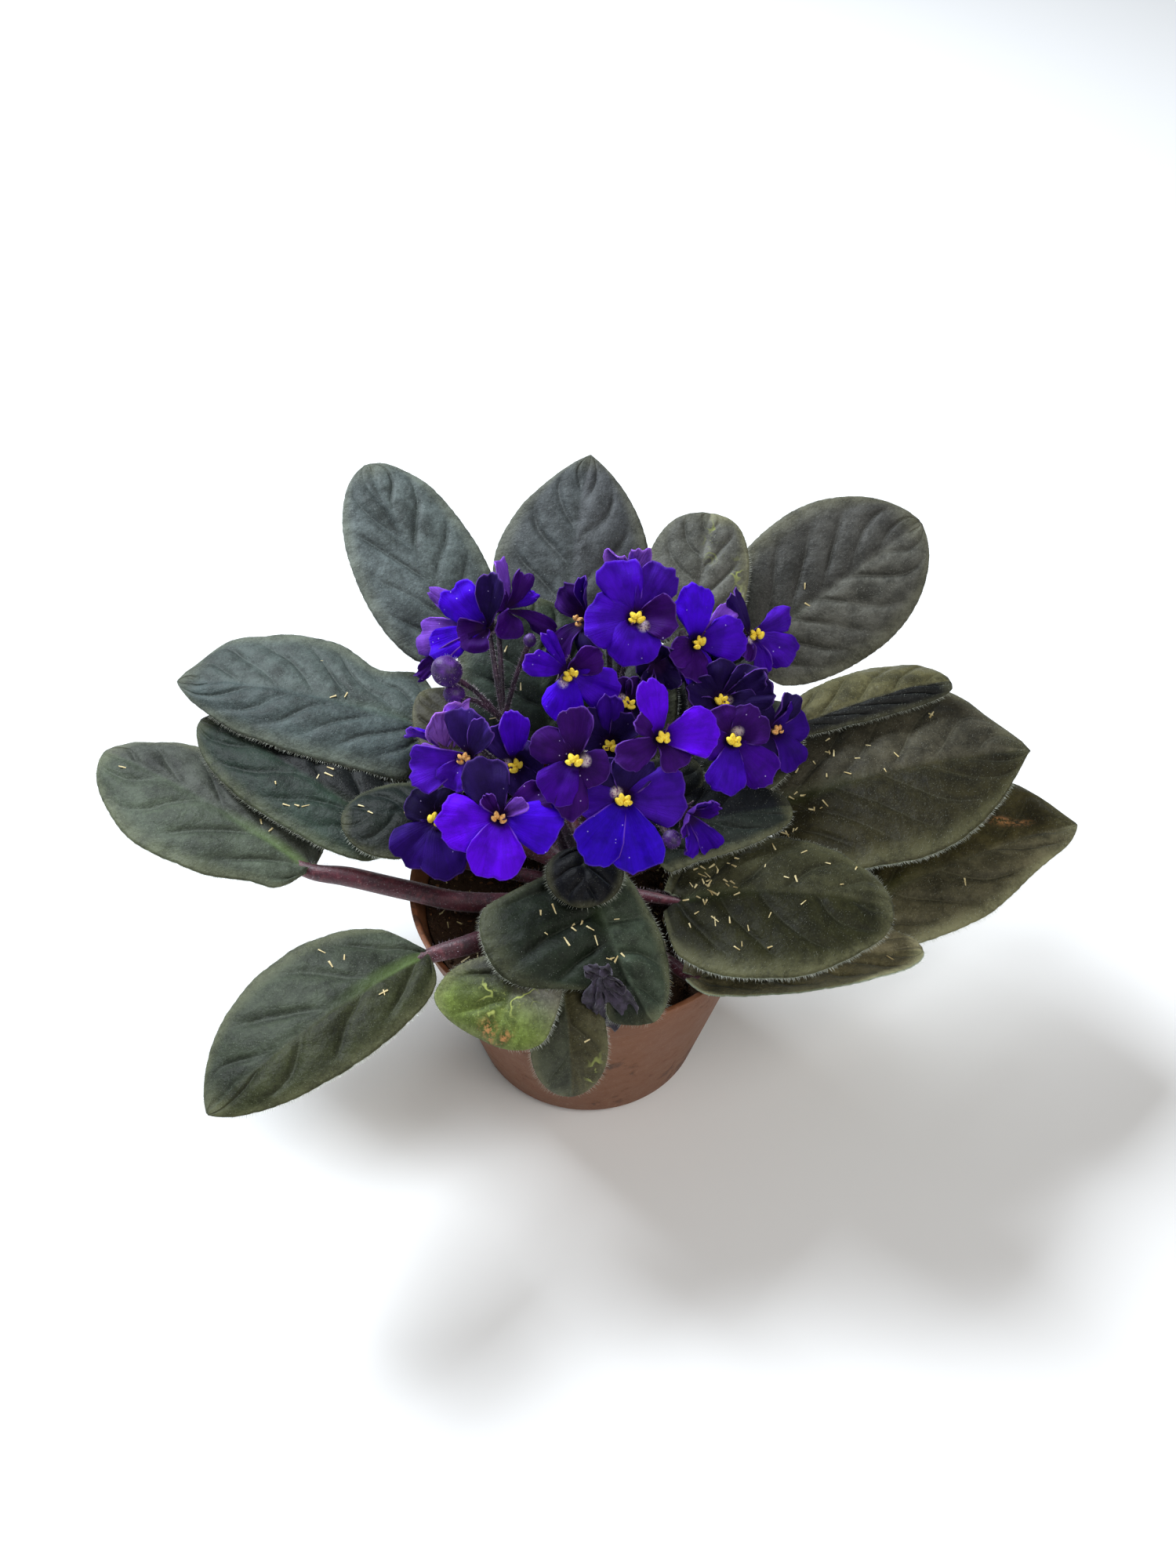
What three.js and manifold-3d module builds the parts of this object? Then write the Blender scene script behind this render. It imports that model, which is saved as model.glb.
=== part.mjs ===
// Potted african violet: a rosette of broad leaves on long stalks with a dome of
// violet blooms over its heart, standing in soil in a shallow tapered pot.
// Millimetres, +Z up. The origin is the middle of the pot's base, on the surface it
// stands on. The plant's best side faces -Y.
import * as THREE from 'three';
import { ParametricGeometry } from 'three/addons/geometries/ParametricGeometry.js';
import { mergeVertices } from 'three/addons/utils/BufferGeometryUtils.js';
import Module from 'manifold-3d';

const wasm = await Module();
wasm.setup();

const skyward = new THREE.Vector3(0, 0, 1);
const gap = 0.3; // clearance between pieces that touch

// The pot, from its rim's size.
const rimRadius = 60;
const baseRadius = 39.5;
const potHeight = 82;
const wall = 1.8;
const floorThickness = 2.5;
const footBevel = 3;
const bandDepth = 12; // the plain band below the rim stands a little proud
const bandStep = 0.8;
const drainRadius = 4;
const drainCircle = 25;
const drainCount = 6;
const potSides = 32;

// The soil fills the pot to a little below its rim.
const soilTop = 74;
const soilHeap = 2.5;
const soilShoulder = 0.8;
const soilClearance = 0.6; // between the soil and the pot's wall
const soilEdge = 0.3; // the soil's top edge draws back a little more

// The crown is the plant's own short stem. It stands in a hole in the soil.
const crown = { x: 0, y: -8, foot: 48, top: 101, radius: 8, sides: 12 };

// Leaves. base and tip are the ends of the blade. half is its half width left and
// right of the midrib, seen from base to tip with the upper face up. arch bows the
// midrib up, sway bows it to the right, lift raises the two margins, roll turns the
// blade about its midrib in degrees. wide says where along the blade it is widest,
// point how sharp the tip is, blunt how wide the base is, lobe how far the base
// sweeps back past the stalk. root is the height at which the stalk leaves the
// crown, and via is a place that the stalk passes.
const bladeThickness = 1.1;
const stalkRadius = 1.8;
const stalkSteps = 7;
const stalkSink = 0.8; // how much of its radius a leaf's stalk sinks into the midrib
const plainLeaf = {
  arch: 3, sway: 0, lift: [-3, -3], roll: 0,
  wide: [0.42, 0.42], point: 0.4, blunt: 0.3, lobe: 0,
};
const leaves = {
  back_left: {
    base: [-42, 82, 112], tip: [-82, 144, 150], half: [29, 24], root: 82,
    lift: [-2, -2], sway: -2, wide: [0.46, 0.46], point: 0.25, blunt: 0.15,
  },
  back: {
    base: [-7, 80, 112], tip: [1, 147, 152], half: [29, 28], root: 88,
    sway: -2, wide: [0.4, 0.4], point: 0.9, blunt: 0.5,
  },
  back_young: {
    base: [36, 78, 116], tip: [45, 116, 146], half: [17, 17], root: 92,
    wide: [0.5, 0.5], point: 0.1,
  },
  back_right: {
    base: [56, 86, 108], tip: [122, 113, 142], half: [31, 31], root: 82,
    roll: 34, wide: [0.5, 0.5],
  },
  left_upper: {
    base: [-60, 51, 106], tip: [-147, 68, 106], half: [27, 31], root: 85,
    arch: 5, lift: [-7, -2], wide: [0.38, 0.62],
  },
  left_middle: {
    base: [-61, 2, 97], tip: [-138, 61, 97], half: [22, 22], root: 86,
    arch: 5, wide: [0.5, 0.5], point: 0.5,
  },
  left_far: {
    base: [-92, -2, 90], tip: [-171, 50, 93], half: [18, 22], root: 80,
    arch: 5, wide: [0.5, 0.5], point: 0.45, via: [-44, -10, 87],
  },
  left_young: {
    base: [-44, 11, 101], tip: [-81, 6, 104], half: [18, 16], root: 93,
    wide: [0.5, 0.5], point: 0.1,
  },
  front_left: {
    base: [-51, -36, 88], tip: [-112, -90, 80], half: [19, 29], root: 80,
    arch: 6, wide: [0.45, 0.45], point: 0.6, blunt: 0.12, via: [-35, -30, 86],
  },
  right_rolled: {
    base: [69, 42, 112], tip: [128, 60, 112], half: [20, 9], root: 91,
    wide: [0.55, 0.55], point: 0.3,
  },
  right_upper: {
    base: [62, 18, 98], tip: [152, 39, 104], half: [33, 34], root: 86,
    arch: 6, wide: [0.56, 0.56], point: 0.7,
  },
  right_lower: {
    base: [84, -13, 79], tip: [169, 23, 84], half: [33, 23], root: 83,
    arch: 6, wide: [0.45, 0.33], point: 0.75, via: [55, -16, 88],
  },
  front_right: {
    base: [30, -24, 100], tip: [96, -28, 100], half: [25, 32], root: 88,
    arch: 6, wide: [0.45, 0.45], point: 0.1, lobe: 6,
  },
  front_right_low: {
    base: [34, -44, 86], tip: [106, -35, 88], half: [17, 18], root: 80,
    arch: 2, lift: [-2, 9], point: 0.1, lobe: 4,
  },
  front: {
    base: [2, -20, 103], tip: [20, -60, 84], half: [16, 38], root: 93,
    arch: 6, sway: 4, wide: [0.45, 0.22], point: 0.5, lobe: 4,
  },
  front_pale: {
    base: [-15, -39, 95], tip: [-29, -68, 84], half: [11, 26], root: 86,
    arch: 5, point: 0, lobe: 2,
  },
  front_hanging: {
    base: [-9, -39, 88], tip: [-5, -71, 60], half: [13, 13], root: 79,
    arch: 13, lift: [1, 1], point: 0.2,
  },
};

// Small young leaves at the heart of the rosette, grown in one with the crown.
const heartLeaves = {
  front: {
    base: [-1, -13, 112], tip: [-1, -34, 108], half: [12, 12], root: 98, point: 0.2, arch: 2,
  },
  right: {
    base: [23, -2, 108], tip: [64, -1, 110], half: [17, 23], root: 95, point: 0.5,
  },
  back: {
    base: [-13, 33, 112], tip: [-21, 78, 140], half: [24, 24], root: 96,
  },
  left: {
    base: [-24, 24, 102], tip: [-60, 47, 112], half: [14, 14], root: 92,
  },
};

// Blooms. at is the middle of the throat, faces is [turn to the right of -Y, tilt
// above level] in degrees, spin turns the bloom about its own axis. size is the
// length of the lowest petal, open how far the petals lean forward from flat. up,
// side and low are the petals' lengths as shares of size.
const petalThickness = 1;
const plainBloom = { spin: 0, open: 15, up: 0.82, side: 0.97, low: 1 };
const blooms = {
  top: { at: [15, 37, 164], faces: [0, 42], size: 17, spin: -6, open: 12, up: 1.15, low: 0.9, anthers: true },
  back_mid: { at: [-6, 27, 150], faces: [12, 28], size: 17, spin: 25, open: 25, anthers: true },
  left_high: { at: [-34, 49, 150], faces: [-50, 38], size: 19, open: 25, up: 1 },
  left_back: { at: [-25, 57, 152], faces: [120, 35], size: 15, open: 20 },
  behind_top: { at: [-2, 53, 150], faces: [-50, 30], size: 15, open: 20 },
  right_high: { at: [35, 43, 149], faces: [25, 35], size: 15, open: 18, up: 1, anthers: true },
  right_small: { at: [55, 54, 143], faces: [30, 40], size: 13.5, spin: 10, open: 12, anthers: true },
  right_faded: { at: [43, 29, 136], faces: [10, 50], size: 15, open: 25, anthers: true },
  right_front: { at: [45, 6, 141], faces: [8, 32], size: 15, open: 12, anthers: true },
  middle_right: { at: [22, -5, 152], faces: [28, 45], size: 16.5, spin: 15, open: 15, up: 1, anthers: true },
  middle_back: { at: [7, 13, 132], faces: [0, 35], size: 12, open: 25, anthers: true },
  middle_left: { at: [-4, -9, 147], faces: [-10, 38], size: 16, spin: 22, open: 18, anthers: true },
  inner_left: { at: [-23, 5, 131], faces: [5, 32], size: 14, open: 20, anthers: true },
  front_right: { at: [11, -12, 133], faces: [0, 40], size: 20, spin: 36, open: 10, anthers: true },
  front_left: { at: [-27, -17, 130], faces: [0, 45], size: 18.5, open: 8, up: 0.9, anthers: true },
  low_left: { at: [-48, -4, 115], faces: [-12, 48], size: 17, spin: 10, open: 15, anthers: true },
  left_mid: { at: [-38, 3, 136], faces: [-28, 32], size: 16, open: 25, up: 1 },
  left_pale: { at: [-48, 22, 128], faces: [-150, 20], size: 13, open: 10 },
  right_edge: { at: [61, 26, 126], faces: [40, 40], size: 13, open: 12, anthers: true },
  half_open: { at: [33, -8, 120], faces: [35, 10], size: 11, open: 50 },
  back_pale: { at: [14, 63, 160], faces: [175, 25], size: 15, open: 10, up: 1 },
};

// Flower stalks. Each leaves the top of the crown at side, in degrees round it,
// forks at its hub and carries its blooms and buds. A bud is [x, y, z, radius].
const stalks = {
  left: {
    side: 130, hub: [-28, 33, 124],
    carries: ['left_high', 'left_back'],
    buds: [[-45, 31, 147, 5], [-43, 29, 139, 3.5]],
  },
  front: {
    side: 185, hub: [-16, 4, 116],
    carries: ['middle_left', 'inner_left', 'front_left', 'low_left', 'left_mid', 'left_pale'],
    buds: [],
  },
  middle: {
    side: -10, hub: [14, 4, 118],
    carries: ['middle_right', 'middle_back', 'front_right', 'half_open', 'right_front'],
    buds: [[26, -15, 118, 3]],
  },
  back: {
    side: 85, hub: [8, 30, 128],
    carries: ['top', 'back_mid', 'behind_top', 'back_pale'],
    buds: [],
  },
  right: {
    side: 40, hub: [36, 22, 122],
    carries: ['right_high', 'right_small', 'right_faded', 'right_edge'],
    buds: [],
  },
};
const peduncleRadius = 1.5;
const pedicelRadius = 0.9;
const rootCircle = 5.6; // the stalks' roots stand on this circle on the crown's top
const rootDepth = 3;
const kneeRise = 3; // a stalk bows up by this half way to its hub
const pedicelEnd = 6; // a pedicel ends this far behind the throat's mouth
const pedicelBend = 12;

const paint = (color, roughness) => new THREE.MeshStandardMaterial({ color, roughness, metalness: 0 });
const materials = {
  pot: paint(0x6f4a38, 0.7),
  soil: paint(0x2c2119, 0.95),
  leaf: paint(0x3f4a3c, 0.8),
  stalk: paint(0x472433, 0.7),
  petal: paint(0x3f0ab0, 0.75),
  anther: paint(0xf0c81e, 0.6),
};

// A closed geometry as a solid that can be joined and cut.
function solidOf(geometry) {
  const bare = geometry.index ? geometry.clone() : geometry;
  bare.deleteAttribute('normal');
  bare.deleteAttribute('uv');
  const welded = mergeVertices(bare, 1e-4);
  const corners = welded.index.array;
  const triVerts = [];
  for (let i = 0; i < corners.length; i += 3) {
    const [a, b, c] = [corners[i], corners[i + 1], corners[i + 2]];
    if (a !== b && b !== c && c !== a) triVerts.push(a, b, c);
  }
  const vertProperties = new Float32Array(welded.attributes.position.array);
  const mesh = new wasm.Mesh({ numProp: 3, vertProperties, triVerts: new Uint32Array(triVerts) });
  return new wasm.Manifold(mesh);
}

function meshOf(name, solid, material) {
  const { vertProperties, triVerts } = solid.getMesh();
  const geometry = new THREE.BufferGeometry();
  geometry.setAttribute('position', new THREE.BufferAttribute(new Float32Array(vertProperties), 3));
  geometry.setIndex(new THREE.BufferAttribute(new Uint32Array(triVerts), 1));
  const mesh = new THREE.Mesh(geometry, material);
  mesh.name = name;
  return mesh;
}

// Gives an open surface a thickness, with the same triangles on both faces.
function thicken(surface, thickness) {
  surface.deleteAttribute('normal');
  surface.deleteAttribute('uv');
  const sheet = mergeVertices(surface, 1e-4);
  const faces = [];
  for (let i = 0; i < sheet.index.count; i += 3) {
    const face = [sheet.index.getX(i), sheet.index.getX(i + 1), sheet.index.getX(i + 2)];
    if (new Set(face).size === 3) faces.push(face);
  }
  sheet.setIndex(faces.flat());
  sheet.computeVertexNormals();
  const count = sheet.attributes.position.count;
  const point = new THREE.Vector3();
  const normal = new THREE.Vector3();
  const points = [];
  for (const side of [0.5, -0.5]) {
    for (let i = 0; i < count; i++) {
      point.fromBufferAttribute(sheet.attributes.position, i);
      normal.fromBufferAttribute(sheet.attributes.normal, i);
      points.push(...point.addScaledVector(normal, side * thickness));
    }
  }
  const edges = new Set(faces.flatMap(([a, b, c]) => [`${a} ${b}`, `${b} ${c}`, `${c} ${a}`]));
  const index = [];
  for (const [a, b, c] of faces) {
    index.push(a, b, c, a + count, c + count, b + count);
    for (const [from, to] of [[a, b], [b, c], [c, a]]) {
      if (!edges.has(`${to} ${from}`)) index.push(from, from + count, to, to, from + count, to + count);
    }
  }
  const body = new THREE.BufferGeometry();
  body.setAttribute('position', new THREE.Float32BufferAttribute(points, 3));
  body.setIndex(index);
  return solidOf(body);
}

// A round stalk of even thickness along a list of places.
function stalkAlong(places, radius, steps, sides = 5) {
  const outline = [];
  for (let i = 0; i < sides; i++) {
    const turn = (i / sides) * Math.PI * 2;
    outline.push(new THREE.Vector2(Math.cos(turn) * radius, Math.sin(turn) * radius));
  }
  const extrudePath = new THREE.CatmullRomCurve3(places);
  return solidOf(new THREE.ExtrudeGeometry(new THREE.Shape(outline), { extrudePath, steps }));
}

// A body turned about the Z axis from [radius, height] pairs that close on themselves.
function turned(profile, sides) {
  const outline = profile.map(([radius, height]) => new THREE.Vector2(radius, height));
  return solidOf(new THREE.LatheGeometry(outline, sides).rotateX(Math.PI / 2));
}

function drum(radius, from, to, sides, x = 0, y = 0) {
  const geometry = new THREE.CylinderGeometry(radius, radius, to - from, sides).rotateX(Math.PI / 2);
  return solidOf(geometry.translate(x, y, (from + to) / 2));
}

function wallRadius(height) {
  return baseRadius + (rimRadius - bandStep - baseRadius) * (height / potHeight);
}

function potSolid() {
  const bandFoot = potHeight - bandDepth;
  let pot = turned([
    [0, 0],
    [baseRadius - footBevel, 0],
    [wallRadius(footBevel), footBevel],
    [wallRadius(bandFoot), bandFoot],
    [wallRadius(bandFoot) + bandStep, bandFoot + bandStep],
    [rimRadius, potHeight],
    [rimRadius - wall, potHeight],
    [wallRadius(bandFoot) - wall, bandFoot],
    [wallRadius(floorThickness) - wall, floorThickness],
    [0, floorThickness],
  ], potSides);
  for (let i = 0; i < drainCount; i++) {
    const turn = (i / drainCount) * Math.PI * 2;
    const x = Math.cos(turn) * drainCircle;
    const y = Math.sin(turn) * drainCircle;
    pot = pot.subtract(drum(drainRadius, -1, floorThickness + 1, 12, x, y));
  }
  return pot;
}

function crownBody(extra) {
  return drum(crown.radius + extra, crown.foot - extra, crown.top + extra, crown.sides, crown.x, crown.y);
}

function soilSolid() {
  const inset = wall + soilClearance;
  const bottom = floorThickness + gap;
  const edge = wallRadius(soilTop) - inset - soilEdge;
  const soil = turned([
    [0, bottom],
    [wallRadius(bottom) - inset, bottom],
    [edge, soilTop],
    [edge * 0.75, soilTop + soilShoulder],
    [edge * 0.35, soilTop + soilHeap],
    [0, soilTop + soilHeap],
  ], potSides);
  return soil.subtract(crownBody(gap));
}

// Half width of a blade at a share of its length, as a share of the widest.
function bladeOutline(share, wide, leaf) {
  if (share < wide) {
    const back = (wide - share) / wide;
    return leaf.blunt + (1 - leaf.blunt) * Math.sqrt(1 - back ** 2.2);
  }
  const forward = (share - wide) / (1 - wide);
  return Math.max(1 - forward ** 2, 0.004) ** (1 / (2 - leaf.point));
}

function bladeFrame(leaf) {
  const base = new THREE.Vector3(...leaf.base);
  const along = new THREE.Vector3(...leaf.tip).sub(base);
  const length = along.length();
  along.normalize();
  const right = new THREE.Vector3().crossVectors(along, skyward).normalize();
  right.applyAxisAngle(along, THREE.MathUtils.degToRad(leaf.roll));
  const up = new THREE.Vector3().crossVectors(right, along);
  return { base, along, right, up, length };
}

// A place on the blade: across runs from -1 to 1 over the width, share from base to tip.
function bladePoint(leaf, frame, across, share, target) {
  const side = across > 0 ? 1 : 0;
  const width = bladeOutline(share, leaf.wide[side], leaf);
  const bow = 4 * share * (1 - share);
  const forward = share * frame.length - leaf.lobe * Math.abs(across) * (1 - share) ** 3;
  const sideways = leaf.sway * bow + across * leaf.half[side] * width;
  const height = leaf.arch * bow + leaf.lift[side] * across ** 2 * width;
  return target.copy(frame.base)
    .addScaledVector(frame.along, forward)
    .addScaledVector(frame.right, sideways)
    .addScaledVector(frame.up, height);
}

// The blade's own relief: a sunken midrib, quilted cushions between the side veins
// and a slightly scalloped margin.
const acrossSteps = 4;
const alongSteps = 10;
const ribDepth = 0.8;
const quiltHeight = 0.5;
const scallop = 0.015;

function bladeSolid(leaf, frame) {
  const surface = new ParametricGeometry((u, v, target) => {
    const column = Math.round(u * acrossSteps) - acrossSteps / 2;
    const row = Math.round(v * alongSteps);
    const across = column / (acrossSteps / 2);
    const inside = row > 0 && row < alongSteps;
    const beat = row % 2 === 0 ? 1 : -1;
    bladePoint(leaf, frame, across, v, target);
    if (Math.abs(across) === 1) {
      target.addScaledVector(frame.right, beat * across * leaf.half[0] * scallop);
    } else if (inside) {
      target.addScaledVector(frame.up, column === 0 ? -ribDepth : beat * quiltHeight);
    }
  }, acrossSteps, alongSteps);
  return thicken(surface, bladeThickness);
}

function leafSolid(shape) {
  const leaf = { ...plainLeaf, ...shape };
  const frame = bladeFrame(leaf);
  const under = (share) => bladePoint(leaf, frame, 0, share, new THREE.Vector3())
    .addScaledVector(frame.up, -ribDepth - stalkRadius * stalkSink);
  const places = [new THREE.Vector3(crown.x, crown.y, leaf.root)];
  if (leaf.via) places.push(new THREE.Vector3(...leaf.via));
  places.push(under(0), under(0.15), under(0.35));
  return bladeSolid(leaf, frame).add(stalkAlong(places, stalkRadius, stalkSteps));
}

function crownSolid() {
  let body = crownBody(0);
  for (const leaf of Object.values(heartLeaves)) body = body.add(leafSolid(leaf));
  return body;
}

// The five petals of a corolla: the middle of each, half its spread and its kind.
const petals = [[56, 34, 'up'], [124, 34, 'up'], [196, 38, 'side'], [270, 36, 'low'], [344, 38, 'side']];
const petalSteps = 4;
const rings = [0, 0.27, 0.62, 1];
const throatDepth = 3;
const throatRadius = 4;
const petalNotch = 0.62;

function bloomFrame(bloom) {
  const [turn, tilt] = bloom.faces.map(THREE.MathUtils.degToRad);
  const facing = new THREE.Vector3(
    Math.sin(turn) * Math.cos(tilt), -Math.cos(turn) * Math.cos(tilt), Math.sin(tilt));
  const up = skyward.clone().addScaledVector(facing, -facing.z).normalize();
  const right = new THREE.Vector3().crossVectors(up, facing);
  const spin = THREE.MathUtils.degToRad(bloom.spin);
  up.applyAxisAngle(facing, spin);
  right.applyAxisAngle(facing, spin);
  return { at: new THREE.Vector3(...bloom.at), facing, up, right };
}

// A place in a bloom's own frame: angle round the axis, distance from it, height.
function bloomPlace(frame, angle, radius, height, target = new THREE.Vector3()) {
  return target.copy(frame.at)
    .addScaledVector(frame.right, Math.cos(angle) * radius)
    .addScaledVector(frame.up, Math.sin(angle) * radius)
    .addScaledVector(frame.facing, height);
}

function corollaSolid(shape) {
  const bloom = { ...plainBloom, ...shape };
  const frame = bloomFrame(bloom);
  const lean = THREE.MathUtils.degToRad(bloom.open);
  const surface = new ParametricGeometry((u, v, target) => {
    const step = Math.round(u * petals.length * petalSteps) % (petals.length * petalSteps);
    const [middle, spread, kind] = petals[Math.floor(step / petalSteps)];
    const across = ((step % petalSteps) / petalSteps) * 2 - 1;
    const angle = THREE.MathUtils.degToRad(middle + spread * across);
    const fullness = petalNotch + (1 - petalNotch) * Math.sqrt(1 - Math.abs(across) ** 2.6);
    const reach = rings[Math.round(v * (rings.length - 1))] * bloom.size * bloom[kind] * fullness;
    const beyond = Math.max(0, reach - throatRadius);
    const inner = Math.min(reach, throatRadius);
    const height = (inner / throatRadius - 1) * throatDepth + Math.sin(lean) * beyond;
    bloomPlace(frame, angle, inner + Math.cos(lean) * beyond, height, target);
  }, petals.length * petalSteps, rings.length - 1);
  return thicken(surface, petalThickness);
}

// Two kidney-shaped anthers side by side on a short filament in the throat.
const lobe = { width: 2, length: 2.3, depth: 1.7, apart: 1.3, height: 2.2 };
const filament = { radius: 0.9, foot: 0.25, length: 4, height: 0.1 };

function antherSolid(shape) {
  const frame = bloomFrame({ ...plainBloom, ...shape });
  const basis = new THREE.Matrix4().makeBasis(frame.right, frame.up, frame.facing).setPosition(frame.at);
  const stem = new THREE.CylinderGeometry(filament.radius, filament.foot, filament.length, 4);
  let body = solidOf(stem.rotateX(Math.PI / 2).translate(0, 0, filament.height).applyMatrix4(basis));
  for (const side of [-1, 1]) {
    const half = new THREE.OctahedronGeometry(1).scale(lobe.width, lobe.length, lobe.depth);
    body = body.add(solidOf(half.translate(side * lobe.apart, 0, lobe.height).applyMatrix4(basis)));
  }
  return body;
}

// The calyx: five narrow sepals that spread behind the corolla. Heights are
// measured from the throat's mouth.
const sepals = 5;
const calyx = {
  front: -3.85,
  back: -7.5,
  tip: { radius: 4.6, height: -2.6 },
  notch: { radius: 1.9, height: -4.1 },
};

function calyxSolid(frame) {
  const points = [...bloomPlace(frame, 0, 0, calyx.front), ...bloomPlace(frame, 0, 0, calyx.back)];
  const index = [];
  const corners = sepals * 2;
  for (let i = 0; i < corners; i++) {
    const { radius, height } = i % 2 === 0 ? calyx.tip : calyx.notch;
    points.push(...bloomPlace(frame, (i / corners) * Math.PI * 2, radius, height));
    const here = 2 + i;
    const next = 2 + ((i + 1) % corners);
    index.push(0, here, next, 1, next, here);
  }
  const star = new THREE.BufferGeometry();
  star.setAttribute('position', new THREE.Float32BufferAttribute(points, 3));
  star.setIndex(index);
  return solidOf(star);
}

function stalkSolid(stalk) {
  const side = THREE.MathUtils.degToRad(stalk.side);
  const root = new THREE.Vector3(Math.cos(side), Math.sin(side), 0).multiplyScalar(rootCircle);
  root.add(new THREE.Vector3(crown.x, crown.y, crown.top - rootDepth));
  const hub = new THREE.Vector3(...stalk.hub);
  const knee = root.clone().lerp(hub, 0.5).addScaledVector(skyward, kneeRise);
  let body = stalkAlong([root, knee, hub], peduncleRadius, 5);
  for (const name of stalk.carries) {
    const frame = bloomFrame({ ...plainBloom, ...blooms[name] });
    const back = bloomPlace(frame, 0, 0, -pedicelEnd);
    const behind = bloomPlace(frame, 0, 0, -pedicelBend);
    body = body.add(stalkAlong([hub, behind, back], pedicelRadius, 3, 4)).add(calyxSolid(frame));
  }
  for (const [x, y, z, radius] of stalk.buds) {
    const middle = new THREE.Vector3(x, y, z);
    const bud = new THREE.SphereGeometry(radius, 7, 5).translate(x, y, z);
    body = body.add(stalkAlong([hub, middle], pedicelRadius, 2, 4)).add(solidOf(bud));
  }
  return body;
}

const plant = new THREE.Group();
plant.name = 'potted_african_violet';
plant.add(meshOf('pot', potSolid(), materials.pot));
plant.add(meshOf('soil', soilSolid(), materials.soil));
plant.add(meshOf('crown', crownSolid(), materials.leaf));
for (const [name, leaf] of Object.entries(leaves)) {
  plant.add(meshOf(`leaf_${name}`, leafSolid(leaf).subtract(crownBody(gap)), materials.leaf));
}
for (const [name, stalk] of Object.entries(stalks)) {
  plant.add(meshOf(`stalk_${name}`, stalkSolid(stalk).subtract(crownBody(gap)), materials.stalk));
}
for (const [name, bloom] of Object.entries(blooms)) {
  plant.add(meshOf(`bloom_${name}`, corollaSolid(bloom), materials.petal));
  if (bloom.anthers) plant.add(meshOf(`anthers_${name}`, antherSolid(bloom), materials.anther));
}

export default plant;
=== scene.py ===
# Potted african violet: fine leaves, blooms, stalks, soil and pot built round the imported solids.
import math
import random

import bpy
import numpy as np
from mathutils import Matrix, Vector, noise


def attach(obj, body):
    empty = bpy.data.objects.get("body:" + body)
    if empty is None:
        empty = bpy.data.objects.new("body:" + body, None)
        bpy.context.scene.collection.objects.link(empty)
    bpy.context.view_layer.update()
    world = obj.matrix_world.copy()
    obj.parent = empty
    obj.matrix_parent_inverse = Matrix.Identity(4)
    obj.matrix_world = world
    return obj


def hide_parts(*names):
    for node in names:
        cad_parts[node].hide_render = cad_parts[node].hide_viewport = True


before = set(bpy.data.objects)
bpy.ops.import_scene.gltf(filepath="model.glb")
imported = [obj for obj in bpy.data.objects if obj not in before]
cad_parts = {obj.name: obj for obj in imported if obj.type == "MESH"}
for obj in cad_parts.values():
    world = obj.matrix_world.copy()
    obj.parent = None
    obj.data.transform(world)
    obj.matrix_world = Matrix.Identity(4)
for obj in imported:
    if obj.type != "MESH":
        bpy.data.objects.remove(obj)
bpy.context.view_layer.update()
mm = 0.001
upward = Vector((0, 0, 1))
roughTurn = 6.28  # a whole turn, near enough for what lies at random
print("frame loaded")


# Helpers for pieces

def pick(piece):
    bpy.ops.object.select_all(action="DESELECT")
    piece.select_set(True)
    bpy.context.view_layer.objects.active = piece


def applyAll(piece):
    pick(piece)
    for modifier in list(piece.modifiers):
        bpy.ops.object.modifier_apply(modifier=modifier.name)


def joinPieces(name, pieces):
    pick(pieces[0])
    for piece in pieces:
        piece.select_set(True)
    bpy.ops.object.join()
    pieces[0].name = name
    return pieces[0]


def startWith(operator, **settings):
    bpy.ops.object.select_all(action="DESELECT")
    operator(**settings)
    return bpy.context.object


def addGrid(name, across, along):
    piece = startWith(bpy.ops.mesh.primitive_grid_add, x_subdivisions=across, y_subdivisions=along, size=2)
    piece.name = name
    return piece


def addToScene(name, data):
    piece = bpy.data.objects.new(name, data)
    bpy.context.scene.collection.objects.link(piece)
    return piece


def smoothOver(piece):
    pick(piece)
    bpy.ops.object.shade_smooth()


def thicken(piece, thickness, edge=1.0, backMaterial=0):
    # edge is the share of the thickness that is left at the margin
    wall = piece.modifiers.new("thickness", "SOLIDIFY")
    wall.thickness = thickness * mm
    wall.offset = 0
    wall.material_offset = backMaterial
    wall.material_offset_rim = backMaterial
    if edge < 1:
        wall.vertex_group = "body"
        wall.thickness_vertex_group = edge
    applyAll(piece)
    smoothOver(piece)


def meshPiece(name, points, faces, material):
    mesh = bpy.data.meshes.new(name)
    mesh.from_pydata(points, [], faces)
    mesh.update()
    mesh.materials.append(material)
    piece = addToScene(name, mesh)
    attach(piece, "root")
    return piece


def copyOf(piece, matrix):
    twin = piece.copy()
    twin.data = piece.data.copy()
    bpy.context.scene.collection.objects.link(twin)
    twin.data.transform(matrix)
    return twin


def standing(place, x, y, z):
    # turns a piece's own axes to x, y and z, and puts it at a place in mm
    matrix = Matrix((x, y, z)).transposed().to_4x4()
    matrix.translation = place * mm
    return matrix


def softStep(low, high, value):
    share = min(1.0, max(0.0, (value - low) / (high - low)))
    return share * share * (3 - 2 * share)


def blendColour(first, second, share):
    return tuple(a + (b - a) * share for a, b in zip(first, second))


def shadedColour(colour, shade):
    return tuple(min(1, part * shade) for part in colour[:3]) + (1,)


def pointColours(piece, name, colours):
    layer = piece.data.attributes.new(name, "FLOAT_COLOR", "POINT")
    layer.data.foreach_set("color", np.array(colours, np.float32).ravel())


def pointValues(piece, name, values):
    layer = piece.data.attributes.new(name, "FLOAT", "POINT")
    layer.data.foreach_set("value", np.array(values, np.float32))


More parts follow.
